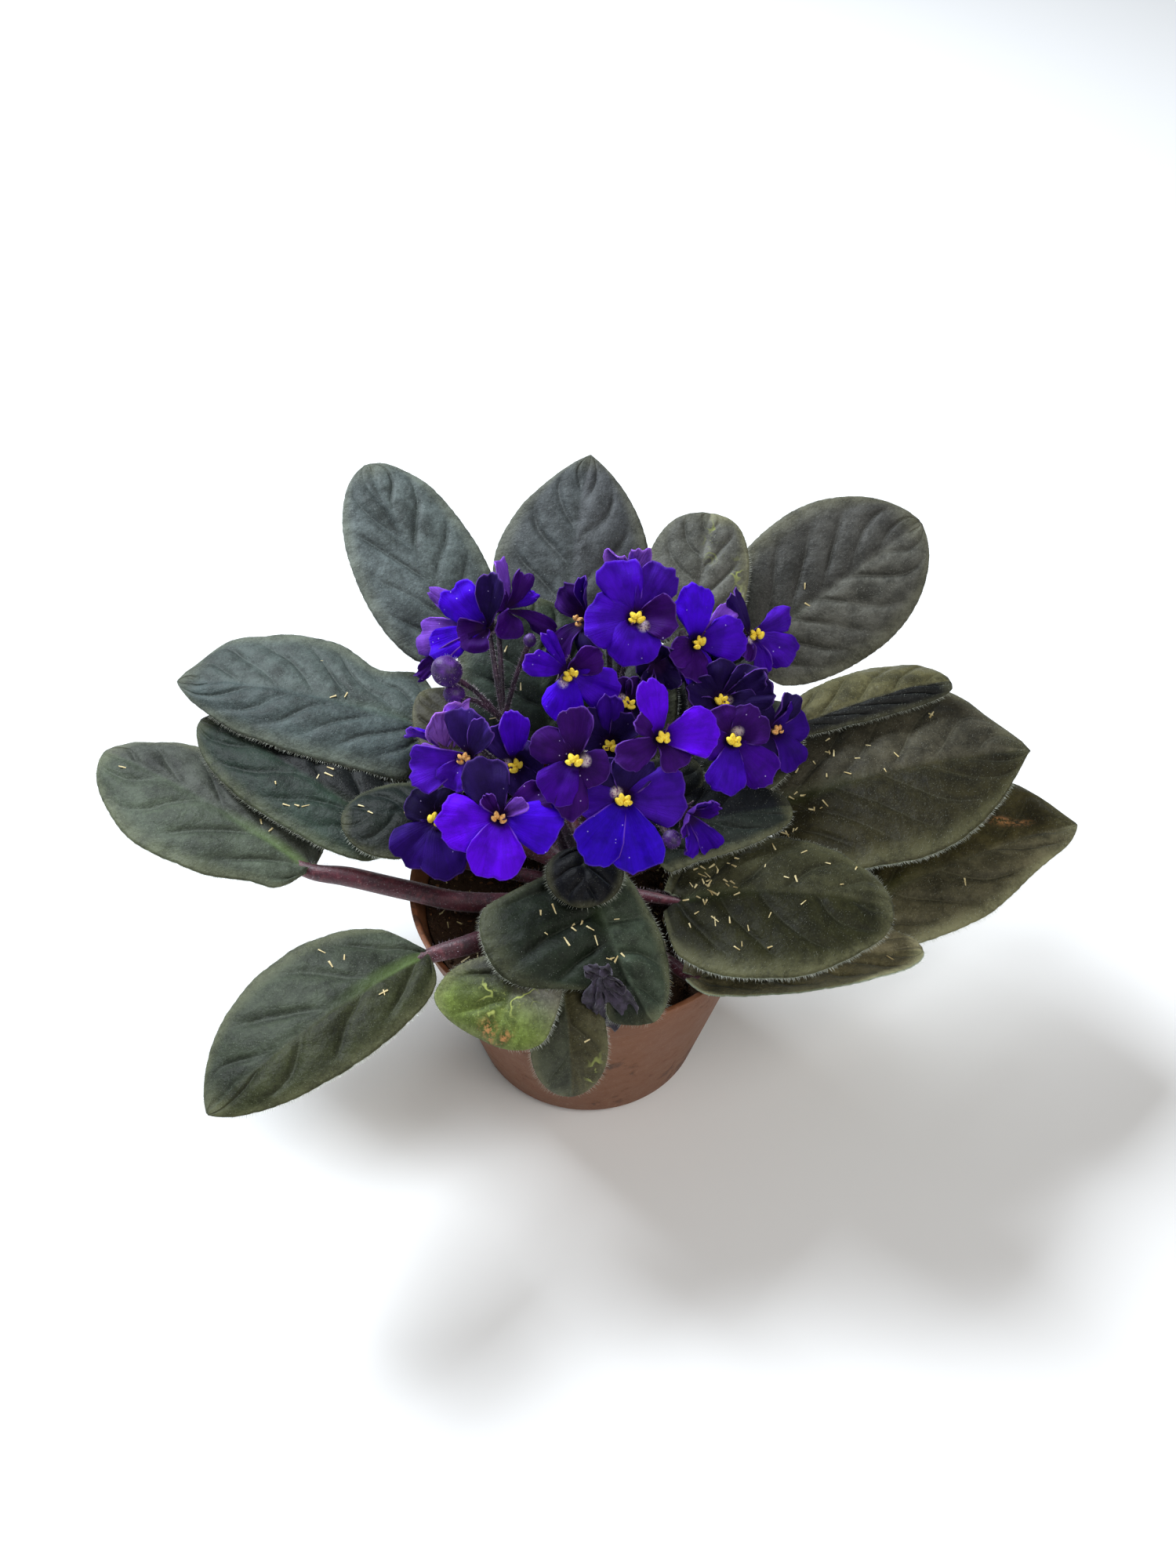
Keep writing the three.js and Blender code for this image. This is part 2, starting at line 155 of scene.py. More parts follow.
def dressSheet(sheet, colours, values, skins, outward):
    # attributes for the materials, and the first of two materials on the outer face
    for name, entries in colours.items():
        pointColours(sheet, name, entries)
    for name, entries in values.items():
        pointValues(sheet, name, entries)
    mesh = sheet.data
    for skin in skins:
        mesh.materials.append(skin)
    if outward.dot(mesh.polygons[len(mesh.polygons) // 2].normal) < 0:
        mesh.flip_normals()


def curvedPath(places, steps):
    # a smooth line through all the places
    places = [Vector(place) for place in places]
    ends = [places[0] * 2 - places[1], *places, places[-1] * 2 - places[-2]]
    path = []
    for i in range(1, len(ends) - 2):
        a, b, c, d = ends[i - 1:i + 3]
        for step in range(steps):
            t = step / steps
            path.append(0.5 * (2 * b + (c - a) * t + (2 * a - 5 * b + 4 * c - d) * t * t
                               + (3 * b - a - 3 * c + d) * t ** 3))
    return [*path, places[-1]]


def stem(name, places, radii, material, steps, roundness):
    # a round stalk through its places, with a radius for each part of the way
    path = curvedPath(places, steps)
    curve = bpy.data.curves.new(name, "CURVE")
    curve.dimensions = "3D"
    curve.bevel_depth = mm
    curve.bevel_resolution = roundness
    curve.use_fill_caps = True
    spline = curve.splines.new("POLY")
    spline.points.add(len(path) - 1)
    for i, (point, place) in enumerate(zip(spline.points, path)):
        along = i / (len(path) - 1) * (len(radii) - 1)
        low = min(int(along), len(radii) - 2)
        point.co = (*(place * mm), 1)
        point.radius = radii[low] + (radii[low + 1] - radii[low]) * (along - low)
    pick(addToScene(name, curve))
    bpy.ops.object.convert(target="MESH")
    piece = bpy.context.object
    piece.data.materials.clear()
    piece.data.materials.append(material)
    smoothOver(piece)
    return piece


def spikes(name, hairs, width, material):
    # each hair is a slim three-sided spike from its root to its tip
    roots, tips = (np.array(ends, float) for ends in zip(*hairs))
    along = tips - roots
    along /= np.linalg.norm(along, axis=1)[:, None] + 1e-9
    aside = np.cross(along, [0.31, 0.17, 0.93])  # any direction that no hair has
    aside /= np.linalg.norm(aside, axis=1)[:, None] + 1e-9
    other = np.cross(along, aside)
    corners = []
    for turn in (0, 2 * math.pi / 3, 4 * math.pi / 3):
        corners.append(roots + (aside * math.cos(turn) + other * math.sin(turn)) * width)
    points = np.stack([*corners, tips], axis=1).reshape(-1, 3) * mm
    first = np.arange(len(roots))[:, None] * 4
    faces = np.concatenate([first + np.array(f) for f in ((0, 1, 3), (1, 2, 3), (2, 0, 3), (0, 2, 1))])
    meshPiece(name, points.tolist(), faces.tolist(), material)


# Helpers for materials

def paint(red, green, blue):
    # a colour as a picture editor shows it, 0 to 255
    shares = (red / 255, green / 255, blue / 255)
    return tuple(s / 12.92 if s <= 0.04045 else ((s + 0.055) / 1.055) ** 2.4 for s in shares) + (1.0,)


def addNode(tree, kind, **settings):
    made = tree.nodes.new(kind)
    for key, value in settings.items():
        setattr(made, key, value)
    return made


def treeOf(*values):
    # the node tree of the first of them that is a socket
    return next(value.id_data for value in values if isinstance(value, bpy.types.NodeSocket))


def feed(socket, value):
    if isinstance(value, bpy.types.NodeSocket):
        socket.id_data.links.new(value, socket)
    else:
        socket.default_value = value


def calc(operation, *values):
    made = addNode(treeOf(*values), "ShaderNodeMath", operation=operation)
    for socket, value in zip(made.inputs, values):
        feed(socket, value)
    return made.outputs[0]


def times(first, second):
    return calc("MULTIPLY", first, second)


def plus(first, second):
    return calc("ADD", first, second)


def minus(first, second):
    return calc("SUBTRACT", first, second)


def scaled(colour, factor):
    made = addNode(treeOf(colour), "ShaderNodeVectorMath", operation="SCALE")
    feed(made.inputs[0], colour)
    feed(made.inputs["Scale"], factor)
    return made.outputs[0]


def separate(vector):
    made = addNode(treeOf(vector), "ShaderNodeSeparateXYZ")
    feed(made.inputs[0], vector)
    return made.outputs


def fade(value, low, high, start=0, end=1):
    made = addNode(treeOf(value), "ShaderNodeMapRange", interpolation_type="SMOOTHSTEP")
    for socket, number in zip(made.inputs, (value, low, high, start, end)):
        feed(socket, number)
    return made.outputs[0]


def mix(factor, first, second, mode="MIX"):
    made = addNode(treeOf(factor, first, second), "ShaderNodeMix", data_type="RGBA", blend_type=mode)
    for number, value in ((0, factor), (6, first), (7, second)):
        feed(made.inputs[number], value)
    return made.outputs[2]


def layered(colour, *layers):
    # each layer is a mask and its colour, laid over what is there
    for mask, over in layers:
        colour = mix(mask, colour, over)
    return colour


def grain(place, scale, detail=2, roughness=0.5):
    made = addNode(treeOf(place), "ShaderNodeTexNoise")
    for label, value in (("Vector", place), ("Scale", scale), ("Detail", detail), ("Roughness", roughness)):
        feed(made.inputs[label], value)
    return made.outputs[0]


def cells(place, scale, **settings):
    made = addNode(treeOf(place), "ShaderNodeTexVoronoi", **settings)
    feed(made.inputs["Vector"], place)
    feed(made.inputs["Scale"], scale)
    return made.outputs


def stretched(place, x, y, z):
    made = addNode(treeOf(place), "ShaderNodeMapping")
    feed(made.inputs["Vector"], place)
    feed(made.inputs["Scale"], (x, y, z))
    return made.outputs[0]


def ownPlace(tree):
    return addNode(tree, "ShaderNodeTexCoord").outputs["Object"]


def uvPlace(tree, name):
    return addNode(tree, "ShaderNodeUVMap", uv_map=name).outputs[0]


def attribute(tree, name, output="Fac"):
    return addNode(tree, "ShaderNodeAttribute", attribute_name=name).outputs[output]


def newMaterial(name, **settings):
    material = bpy.data.materials.new(name)
    material.use_nodes = True
    tree = material.node_tree
    shader = tree.nodes["Principled BSDF"]
    for label, value in settings.items():
        shader.inputs[label.replace("_", " ")].default_value = value
    return material, tree, shader


def finishSkin(shader, colour, height=None, depth=0):
    # depth is the relief's, in mm
    feed(shader.inputs["Base Color"], colour)
    if height is not None:
        bump = addNode(shader.id_data, "ShaderNodeBump")
        feed(bump.inputs["Distance"], depth * mm)
        feed(bump.inputs["Height"], height)
        feed(shader.inputs["Normal"], bump.outputs[0])


def newGroup(name, inputs, outputs):
    tree = bpy.data.node_groups.new(name, "ShaderNodeTree")
    for label, kind in inputs.items():
        tree.interface.new_socket(label, in_out="INPUT", socket_type="NodeSocket" + kind)
    for label in outputs:
        tree.interface.new_socket(label, in_out="OUTPUT", socket_type="NodeSocketFloat")
    return tree, tree.nodes.new("NodeGroupInput").outputs


def giveOut(**values):
    result = addNode(treeOf(*values.values()), "NodeGroupOutput").inputs
    for label, value in values.items():
        feed(result[label], value)


def useGroup(tree, group, **values):
    made = addNode(tree, "ShaderNodeGroup", node_tree=group)
    for label, value in values.items():
        feed(made.inputs[label], value)
    return made.outputs


# Effects that several materials share

velvetForm = {"broad": (160, 3, 0.6), "fine": (900, 3, 0.7), "sharp": (1900, 2, 0.6), "flecks": (0.6, 0.74)}
markForm = {
    "mapScale": 10,  # side veins to one unit of the veins map
    "vein": (0.1, 0), "valley": (0.42, 0.04),  # where each fades out beside a side vein
    "veinsFrom": (0.02, 0.1), "veinsTo": (0.92, 0.55),  # shares of the way from midrib to margin
    "hollowsFrom": (0.04, 0.14), "hollowsTo": (0.66, 0.3),
    "uneven": (0.38, 0.58, 0.15, 1), "patches": (0.47, 0.6), "lines": (0.035, 0.008),
    "net": 300, "netWidth": (0.12, 0), "ribWidth": 0.2, "ribTaper": 0.19,
}
smudgeForm = {"broad": (36, 4, 0.6), "torn": (220, 5, 0.7), "level": 0.86, "spread": 0.3, "edge": 0.09}


def makeVelvet():
    # short hairs: soft patches of nap, and pale flecks where single hairs catch the light
    tree, source = newGroup("velvetNap", {"Place": "Vector"}, ("Nap", "Fleck", "Height"))
    sizes = ("broad", "fine", "sharp")
    broad, fine, sharp = (grain(source["Place"], *velvetForm[size]) for size in sizes)
    giveOut(
        Nap=plus(times(broad, 0.6), times(fine, 0.4)),
        Fleck=fade(sharp, *velvetForm["flecks"]),
        Height=plus(fine, times(sharp, 0.6)))
    return tree


def makeLeafMarks():
    # side veins, midrib, and painted shade in the hollows and in the valleys beside the veins, drawn on the
    # blade's own maps
    tree, source = newGroup("leafMarks", {"Blade": "Vector", "Veins": "Vector", "Place": "Vector"},
                            ("Vein", "Valley", "Midrib", "Hollow", "Lines", "Height"))
    place, form = source["Place"], markForm
    reach, number = separate(source["Veins"])[:2]
    share = separate(source["Blade"])[1]
    beat = calc("FRACT", times(number, form["mapScale"]))
    away = times(calc("ABSOLUTE", minus(beat, 0.5)), 2)
    inside = times(fade(reach, *form["veinsFrom"]), fade(reach, *form["veinsTo"]))
    uneven = fade(grain(place, 80), *form["uneven"])
    valley = times(times(fade(away, *form["valley"]), inside), uneven)
    net = cells(place, form["net"], feature="DISTANCE_TO_EDGE")["Distance"]
    ribWidth = minus(form["ribWidth"], times(share, form["ribTaper"]))
    patches = fade(grain(place, 60, 3, 0.55), *form["patches"])
    window = times(fade(reach, *form["hollowsFrom"]), fade(reach, *form["hollowsTo"]))
    ridge = calc("ABSOLUTE", minus(grain(place, 130), 0.5))
    sunk = plus(times(valley, 0.8), times(fade(net, *form["netWidth"]), 0.07))
    giveOut(
        Vein=times(fade(away, *form["vein"]), inside), Valley=valley,
        Midrib=fade(reach, ribWidth, times(ribWidth, 0.2)),
        Hollow=times(times(patches, window), fade(away, 0.1, 0.5)),
        Lines=fade(ridge, *form["lines"]), Height=times(sunk, -1))
    return tree


def makeSmudges():
    # dirt and stains in uneven patches
    tree, source = newGroup("earthSmudges", {"Place": "Vector", "Amount": "Float"}, ("Dirt", "Dust"))
    broad, torn = (grain(source["Place"], *smudgeForm[size]) for size in ("broad", "torn"))
    level = minus(smudgeForm["level"], times(source["Amount"], smudgeForm["spread"]))
    total = plus(times(broad, 0.7), times(torn, 0.45))
    giveOut(Dirt=fade(total, level, plus(level, smudgeForm["edge"])),
            Dust=times(torn, broad))
    return tree


velvetNap = makeVelvet()
leafMarks = makeLeafMarks()
earthSmudges = makeSmudges()
print("shared effects ready")


# Materials of the plant

leafFinish = {
    "roughness": 0.57, "relief": 0.5,
    "sheen": 0.06, "sheenTint": paint(196, 214, 224),
    "hollowShade": (0.38, 0.38, 0.36, 1),  # what painted shade in hollows and valleys leaves of the blade's colour
    "mottle": (0.66, 1.34),  # darkest and lightest nap
    # painted shade: how strongly the hollows and the valleys beside side veins are darkened
    "hollowShadeDepth": 0.7, "valleyShadeDepth": 0.78,
    "hairLight": 2.2,  # veins and single hairs against the blade
    "fleck": paint(150, 158, 150), "fleckShare": 0.75, "veinShare": 0.22,
    "midrib": paint(92, 114, 62),
    "margin": paint(150, 150, 112),
    "paleMark": paint(158, 168, 92),
    "scar": paint(186, 132, 84),
    "under": (paint(96, 108, 84), paint(128, 136, 112)),
    "underRib": paint(138, 104, 98),
    "underFleck": paint(190, 192, 178),
}
petalFinish = {
    "roughness": 0.68, "relief": 0.3,
    "sheen": 0.05, "sheenTint": paint(120, 90, 255),
    "deep": (0.5, 0.42, 0.5, 1),  # what is left of the petal's colour under painted shade in folds and at the middle, and in its own darker threads and clouds
    "folds": (0.42, 0.66, 0, 0.3), "threads": (0.5, 0.7, 0, 0.3), "clouds": (0.42, 0.66, 0, 0.6),
    "middle": (9.5, 3.4, 0, 0.75), "funnelShadeReach": (4.2, 2.4, 0, 0.85), "throatReach": (2.5, 0.7),  # in mm; the first two are how far painted shade reaches round the bloom's sunken middle
    # painted shade in the sunken throat
    "funnelShade": paint(38, 14, 56),
    "throat": (paint(240, 224, 228), paint(150, 92, 156)),
    "backVein": paint(92, 40, 150),
    "rim": paint(140, 100, 205), "rimShare": 0.15,
    # pale specks are painted glints where the velvet catches light
    "glint": paint(206, 190, 246), "glintScale": 470, "glintSize": (0.13, 0.06),
    "glintShare": (0.86, 0.88, 0, 0.6),
}


def leafGroups(tree):
    place = ownPlace(tree)
    marks = useGroup(tree, leafMarks, Blade=uvPlace(tree, "blade"), Veins=uvPlace(tree, "veins"), Place=place)
    return place, marks, useGroup(tree, velvetNap, Place=place)


def makeLeafSkin():
    look = leafFinish
    material, tree, shader = newMaterial(
        "leafSkin", Roughness=look["roughness"], Sheen_Weight=look["sheen"], Sheen_Roughness=0.4,
        Sheen_Tint=look["sheenTint"], Specular_IOR_Level=0.16)
    place, marks, nap = leafGroups(tree)
    tint = attribute(tree, "tint", "Color")
    # painted shade in the hollows and in the valleys beside the side veins
    dark = calc("MAXIMUM", times(marks["Hollow"], look["hollowShadeDepth"]),
                times(marks["Valley"], look["valleyShadeDepth"]))
    blade = mix(dark, tint, mix(1.0, tint, look["hollowShade"], "MULTIPLY"))
    light = mix(0.12, scaled(tint, look["hairLight"]), look["fleck"])
    torn = grain(place, 700, 4, 0.7)
    streaks = calc("MAXIMUM", marks["Lines"], fade(torn, 0.56, 0.66, 0, 0.5))
    colour = layered(
        scaled(blade, fade(nap["Nap"], 0.36, 0.64, *look["mottle"])),
        (times(marks["Vein"], look["veinShare"]), light),
        (times(marks["Midrib"], attribute(tree, "ribGreen")), look["midrib"]),
        (times(nap["Fleck"], look["fleckShare"]), light),
        (times(attribute(tree, "pale"), streaks), look["paleMark"]),
        (times(attribute(tree, "scar"), fade(torn, 0.46, 0.54)), look["scar"]),
        (times(attribute(tree, "edge"), fade(nap["Nap"], 0.3, 0.6, 0.3, 1)), look["margin"]))
    quilt = plus(times(marks["Height"], 0.8), times(grain(place, 330), 0.9))
    finishSkin(shader, colour, plus(times(nap["Height"], 0.32), quilt), look["relief"])
    return material


def makeLeafUnderside():
    material, tree, shader = newMaterial(
        "leafUnderside", Roughness=0.7, Sheen_Weight=0.3, Sheen_Roughness=0.5, Specular_IOR_Level=0.3)
    _, marks, nap = leafGroups(tree)
    ribs = calc("MAXIMUM", marks["Vein"], marks["Midrib"])
    colour = layered(
        mix(nap["Nap"], *leafFinish["under"]), (times(ribs, 0.6), leafFinish["underRib"]),
        (times(nap["Fleck"], 0.3), leafFinish["underFleck"]))
    finishSkin(shader, colour, minus(nap["Height"], marks["Height"]), 0.3)
    return material


def makeHairySkin(name, dark, light, highlightStreak, down=0.25):
    # wine-coloured stalks, sepals and buds under more or less white down
    material, tree, shader = newMaterial(name, Roughness=0.5, Sheen_Weight=down, Sheen_Roughness=0.4)
    place = ownPlace(tree)
    nap = useGroup(tree, velvetNap, Place=place)
    # the pale streaks are painted highlights along stalks, sepals and buds
    streaks = grain(stretched(place, 1, 1, 0.25), 320, 3, 0.6)
    colour = layered(
        mix(fade(nap["Nap"], 0.35, 0.65), paint(*dark), paint(*light)),
        (times(fade(streaks, 0.52, 0.7), 0.45), paint(*highlightStreak)),
        (times(nap["Fleck"], down), paint(205, 190, 196)))
    finishSkin(shader, colour, nap["Height"], 0.2)
    return material


def makePetalSkin(name, back):
    look = petalFinish
    material, tree, shader = newMaterial(
        name, Roughness=look["roughness"], Sheen_Weight=look["sheen"], Sheen_Roughness=0.3,
        Sheen_Tint=look["sheenTint"], Specular_IOR_Level=0.1)
    place, flat = ownPlace(tree), uvPlace(tree, "petal")
    x, reach = separate(flat)[:2]
    across = calc("ABSOLUTE", minus(x, 0.5))
    distance = attribute(tree, "middle")
    tint = attribute(tree, "backTint" if back else "tint", "Color")
    folds = grain(stretched(flat, 11, 1, 1), 1, 3, 0.55)
    threads = grain(stretched(flat, 34, 1.6, 1), 1, 3, 0.6)
    cloud = grain(place, 210, 3, 0.6)
    # folds and the middle get painted shade; threads and clouds are the petal's own darker veins and mottling
    deep = mix(1.0, tint, look["deep"], "MULTIPLY")
    colour = layered(
        tint, (fade(folds, *look["folds"]), deep), (fade(threads, *look["threads"]), deep),
        (fade(cloud, *look["clouds"]), deep), (fade(distance, *look["middle"]), deep))
    if back:
        colour = mix(fade(folds, 0.54, 0.6, 0, 0.5), colour, look["backVein"])
    else:
        flecks = fade(grain(place, 1500, 2, 0.6), 0.5, 0.64)
        patch = fade(attribute(tree, "throat"), *look["throatReach"])
        # painted shade in the sunken throat, then the throat's own pale patch
        colour = layered(
            colour, (fade(distance, *look["funnelShadeReach"]), look["funnelShade"]),
            (times(patch, fade(cloud, 0.36, 0.52, 0.35, 0.9)), mix(flecks, *look["throat"])))
    rim = calc("MAXIMUM", fade(reach, 0.972, 0.99),
               times(fade(across, 0.485, 0.496), fade(reach, 0.45, 0.7)))
    # painted glints: pale specks where the velvet catches light
    dots = cells(place, look["glintScale"])
    glint = times(fade(dots["Distance"], *look["glintSize"]),
                   fade(separate(dots["Color"])[0], *look["glintShare"]))
    colour = layered(colour, (times(rim, look["rimShare"]), look["rim"]), (glint, look["glint"]))
    wrinkles = plus(folds, times(threads, 0.6))
    finishSkin(shader, colour, plus(times(grain(place, 3200, 1), 0.3), wrinkles), look["relief"])
    return material


def makePlainSkin(name, look, dark, light):
    # two colours take turns in one grain, which also gives the relief
    material, tree, shader = newMaterial(name, **look["surface"])
    shade = grain(ownPlace(tree), *look["grain"])
    colour = mix(fade(shade, *look["fade"]) if "fade" in look else shade, paint(*dark), paint(*light))
    finishSkin(shader, colour, shade if "relief" in look else None, look.get("relief", 0))
    return material


antherFinish = {
    "surface": {"Roughness": 0.7, "Specular_IOR_Level": 0.25},
    "grain": (1600, 3, 0.6), "fade": (0.35, 0.6), "relief": 0.15,
}
styleFinish = {"surface": {"Roughness": 0.45}, "grain": (500, 2)}
hairFinish = {"surface": {"Roughness": 0.4, "Specular_IOR_Level": 0.6}, "grain": (400, 1)}

leafSkin = makeLeafSkin()
leafUnderside = makeLeafUnderside()
petioleSkin = makeHairySkin("petioleSkin", (48, 16, 28), (88, 34, 48), (134, 72, 78))
stalkSkin = makeHairySkin("stalkSkin", (22, 10, 24), (48, 22, 42), (92, 52, 80))
sepalSkin = makeHairySkin("sepalSkin", (48, 28, 48), (84, 52, 76), (120, 110, 90))
budSkin = makeHairySkin("budSkin", (30, 6, 58), (74, 26, 120), (120, 70, 176), 0.06)
petalSkin = makePetalSkin("petalSkin", False)
petalBack = makePetalSkin("petalBack", True)
antherSkin = makePlainSkin("antherPollen", antherFinish, (238, 196, 40), (255, 228, 84))
dryAntherSkin = makePlainSkin("antherDry", antherFinish, (206, 138, 64), (238, 186, 120))
styleSkin = makePlainSkin("styleSkin", styleFinish, (34, 10, 44), (84, 34, 92))
leafHair = makePlainSkin("leafHair", hairFinish, (150, 158, 140), (205, 208, 196))
stalkHair = makePlainSkin("stalkHair", hairFinish, (170, 150, 168), (220, 208, 220))
print("materials ready")


# Leaves, in mm. Each starts and ends where its solid does, and its outline follows that solid closely.
# A pair is the left side and the right side, seen from the stalk towards the tip.

crownAt = (0, -8)
leafCells = {"across": 44, "along": 64}
leafForm = {
    "thickness": 1.1,
    "margin": 0.45,  # share of the thickness at the edge
    "ribDepth": 1.1,
    "ribWidth": 1.8,
    "veinDepth": 0.45,
    "veinWidth": 0.25,  # share of the way to the next vein
    "cushion": 0.8,
    "pebble": 0.35,
    "bumps": 0.7,
    "teeth": 24,
    "toothSize": 0.2,
    "patches": 0.35,  # how far the colour drifts
    "underRib": ((0, 1), (0.12, 0.9), (0.3, 0.7)),  # (share, size) of the petiole under the blade
    "ribEnd": (0.62, 0.4),  # share and radius
}
plainLeaf = {
    "via": (),  # places that the stalk passes
    "stalk": (2.6, 2),  # radii at the crown and at the blade
    "arch": 3,  # how high the middle stands
    "sway": 0,  # how far it bends sideways
    "roll": 0,  # turn about its length, in degrees
    "lift": (-3, -3),  # height of the margins
    "wide": (0.42, 0.42),  # where along the blade each side is widest
    "point": 0.4,  # above 0 for a pointed tip
    "blunt": (0.3, 0.3),  # width at the stalk, as a share
    "lobe": 0,  # how far the lobes reach back past the stalk
    "bites": (),  # (side, share, size, depth), where the outline draws in or swells
    "veins": 4.5,
    "sweep": 0.4,  # how far the veins lean to the tip
    "wave": 0.3,
    "quilt": 1,
    "teeth": 1,
    "ribGreen": 0.1,
    "tipTone": None,
    "pale": (),  # (across, share, size) of mottled patches
    "scars": (),
    "edge": (0.2, 0.2),  # how pale the margins are
}
# Each leaf's pair of tones holds its sides' own colour with painted shade and light: a side lying in shade,
# such as left_middle's right half, is painted darker, one in light lighter.
leaves = {
    "back_left": {
        "base": (-42, 82, 112), "tip": (-82, 144, 150), "half": (24.5, 24), "root": 82, "sway": -2,
        "lift": (-2, -2), "wide": (0.36, 0.46), "point": 0.25, "blunt": (0.5, 0.15), "veins": 5,
        "toneAndShade": ((86, 95, 95), (82, 91, 90))},
    "back": {
        "base": (-7, 80, 112), "tip": (1, 147, 152), "half": (29, 28), "root": 88, "sway": -2,
        "wide": (0.4, 0.4), "point": 0.9, "blunt": (0.5, 0.5), "veins": 5,
        "toneAndShade": ((66, 71, 72), (65, 68, 70))},
    "back_young": {
        "base": (36, 78, 116), "tip": (44, 117, 147), "half": (20, 17), "root": 92, "wide": (0.5, 0.5),
        "point": -0.8, "toneAndShade": ((76, 77, 71), (92, 93, 87)), "edge": (0.15, 0.5), "pale": ((0.2, 0.8, 0.16),
        (0.85, 0.38, 0.14), (0.75, 0.6, 0.1))},
    "back_right": {
        "base": (56, 86, 108), "tip": (120, 116, 144), "half": (31, 28), "root": 82, "roll": 34,
        "wide": (0.5, 0.5), "point": 0.35, "veins": 6, "toneAndShade": ((64, 64, 61), (81, 81, 75))},
    "left_upper": {
        "base": (-60, 51, 106), "tip": (-147, 72, 107), "half": (23, 31), "root": 85, "arch": 5,
        "lift": (-7, -2), "wide": (0.32, 0.58), "point": 0.75, "blunt": (0.95, 0.2), "lobe": 6,
        "bites": ((1, 0.26, 0.12, 0.26), (1, 0.12, 0.06, -0.16), (1, 0.93, 0.12, -0.4)), "veins": 6,
        "toneAndShade": ((64, 74, 73), (70, 79, 76)), "pale": ((0, 1, 0.05),)},
    "left_middle": {
        "base": (-61, 2, 97), "tip": (-138, 62, 98), "half": (20, 22), "root": 86, "arch": 5,
        "wide": (0.5, 0.5), "point": 0.5, "blunt": (0.3, 0.95), "toneAndShade": ((33, 46, 38), (6, 9, 9))},
    "left_far": {
        "base": (-92, -2, 90), "tip": (-171, 50, 93), "half": (25, 22), "root": 80,
        "via": ((-38, -13, 85), (-59, -9.5, 87), (-79, -4.5, 88)), "stalk": (3.4, 2.7), "arch": 5,
        "wide": (0.48, 0.5), "point": 0.45, "bites": ((0, 0.12, 0.12, 0.2), (0, 0.58, 0.14, -0.06)),
        "toneAndShade": ((66, 74, 61), (63, 67, 60)), "ribGreen": 0.6},
    "left_young": {
        "base": (-44, 11, 101), "tip": (-81, 6, 104), "half": (18, 16), "root": 93, "wide": (0.5, 0.5),
        "point": 0.1, "veins": 4, "toneAndShade": ((17, 23, 18), (17, 26, 22))},
    "front_left": {
        "base": (-51, -36, 88), "tip": (-112, -90, 80), "half": (19, 29), "root": 80,
        "via": ((-35, -30, 86),), "stalk": (3.4, 2.5), "arch": 6, "wide": (0.45, 0.45), "point": 0.6,
        "blunt": (0.12, 0.12), "veins": 4, "toneAndShade": ((48, 52, 31), (57, 64, 51)), "ribGreen": 0.6},
    "right_rolled": {
        "base": (69, 42, 112), "tip": (127, 64, 114), "half": (21, 7), "root": 91, "lift": (-8, -3),
        "wide": (0.66, 0.55), "point": -1.2, "toneAndShade": ((78, 75, 50), (25, 26, 25)), "ribGreen": 0},
    "right_upper": {
        "base": (58, 17, 98), "tip": (152, 39, 104), "half": (38, 37), "root": 86, "arch": 6,
        "wide": (0.78, 0.42), "point": 1.1, "blunt": (0.5, 0.5), "veins": 6,
        "toneAndShade": ((63, 60, 48), (41, 38, 20))},
    "right_lower": {
        "base": (84, -13, 79), "tip": (169, 23, 84), "half": (37, 23), "root": 83, "via": ((55, -16, 88),),
        "arch": 6, "wide": (0.45, 0.33), "point": 0.75,
        "bites": ((0, 0.95, 0.09, -0.9), (1, 0.76, 0.2, 0.2)), "toneAndShade": ((61, 56, 31), (86, 82, 61)),
        "edge": (0.2, 0.5), "scars": ((-0.3, 0.72, 0.05), (-0.22, 0.78, 0.05))},
    "front_right": {
        "base": (30, -24, 100), "tip": (96, -28, 100), "half": (25, 32), "root": 88, "stalk": (2.6, 1.3),
        "arch": 6, "wide": (0.45, 0.38), "point": 0.1, "lobe": 6, "bites": ((1, 0.88, 0.2, 0.12),),
        "toneAndShade": ((58, 58, 39), (36, 36, 16)), "edge": (0.2, 0.3)},
    "front_right_low": {
        "base": (34, -44, 86), "tip": (106, -35, 88), "half": (17, 18), "root": 80, "arch": 2,
        "lift": (-2, 9), "point": 0.1, "lobe": 4, "toneAndShade": ((118, 112, 86), (110, 104, 76)),
        "edge": (0.2, 0.55)},
    "front": {
        "base": (2, -20, 103), "tip": (20, -60, 84), "half": (16, 38), "root": 93, "arch": 6, "sway": 4,
        "wide": (0.5, 0.2), "point": 0.5, "blunt": (0.3, 0.7), "lobe": 8, "bites": ((1, 0.74, 0.16, 0.64),),
        "veins": 4, "sweep": 0.2, "wave": 1, "quilt": 2.2, "toneAndShade": ((60, 70, 57), (25, 33, 22)),
        "edge": (0.3, 0.15)},
    "front_pale": {
        "base": (-15, -39, 95), "tip": (-29, -68, 84), "half": (15, 24), "root": 86, "arch": 5,
        "wide": (0.72, 0.76), "point": 0, "blunt": (0.1, 0.1), "bites": ((1, 0.14, 0.3, 0.42),), "veins": 3,
        "toneAndShade": ((91, 90, 82), (45, 46, 36)), "tipTone": (100, 116, 54), "edge": (0.2, 0.35),
        "pale": ((-0.35, 0.4, 0.2), (-0.12, 0.55, 0.2), (0.05, 0.7, 0.18), (0.12, 0.84, 0.14),
        (0.35, 0.6, 0.12)), "scars": ((0.12, 0.93, 0.12), (-0.3, 0.92, 0.1))},
    "front_hanging": {
        "base": (-9, -39, 88), "tip": (-5, -71, 60), "half": (11.5, 12), "root": 79, "arch": 13,
        "lift": (1, 1), "wide": (0.62, 0.62), "point": 0.2, "veins": 3, "quilt": 0.6,
        "toneAndShade": ((65, 62, 41), (56, 59, 46)), "pale": ((-0.7, 0.8, 0.16),)},
}
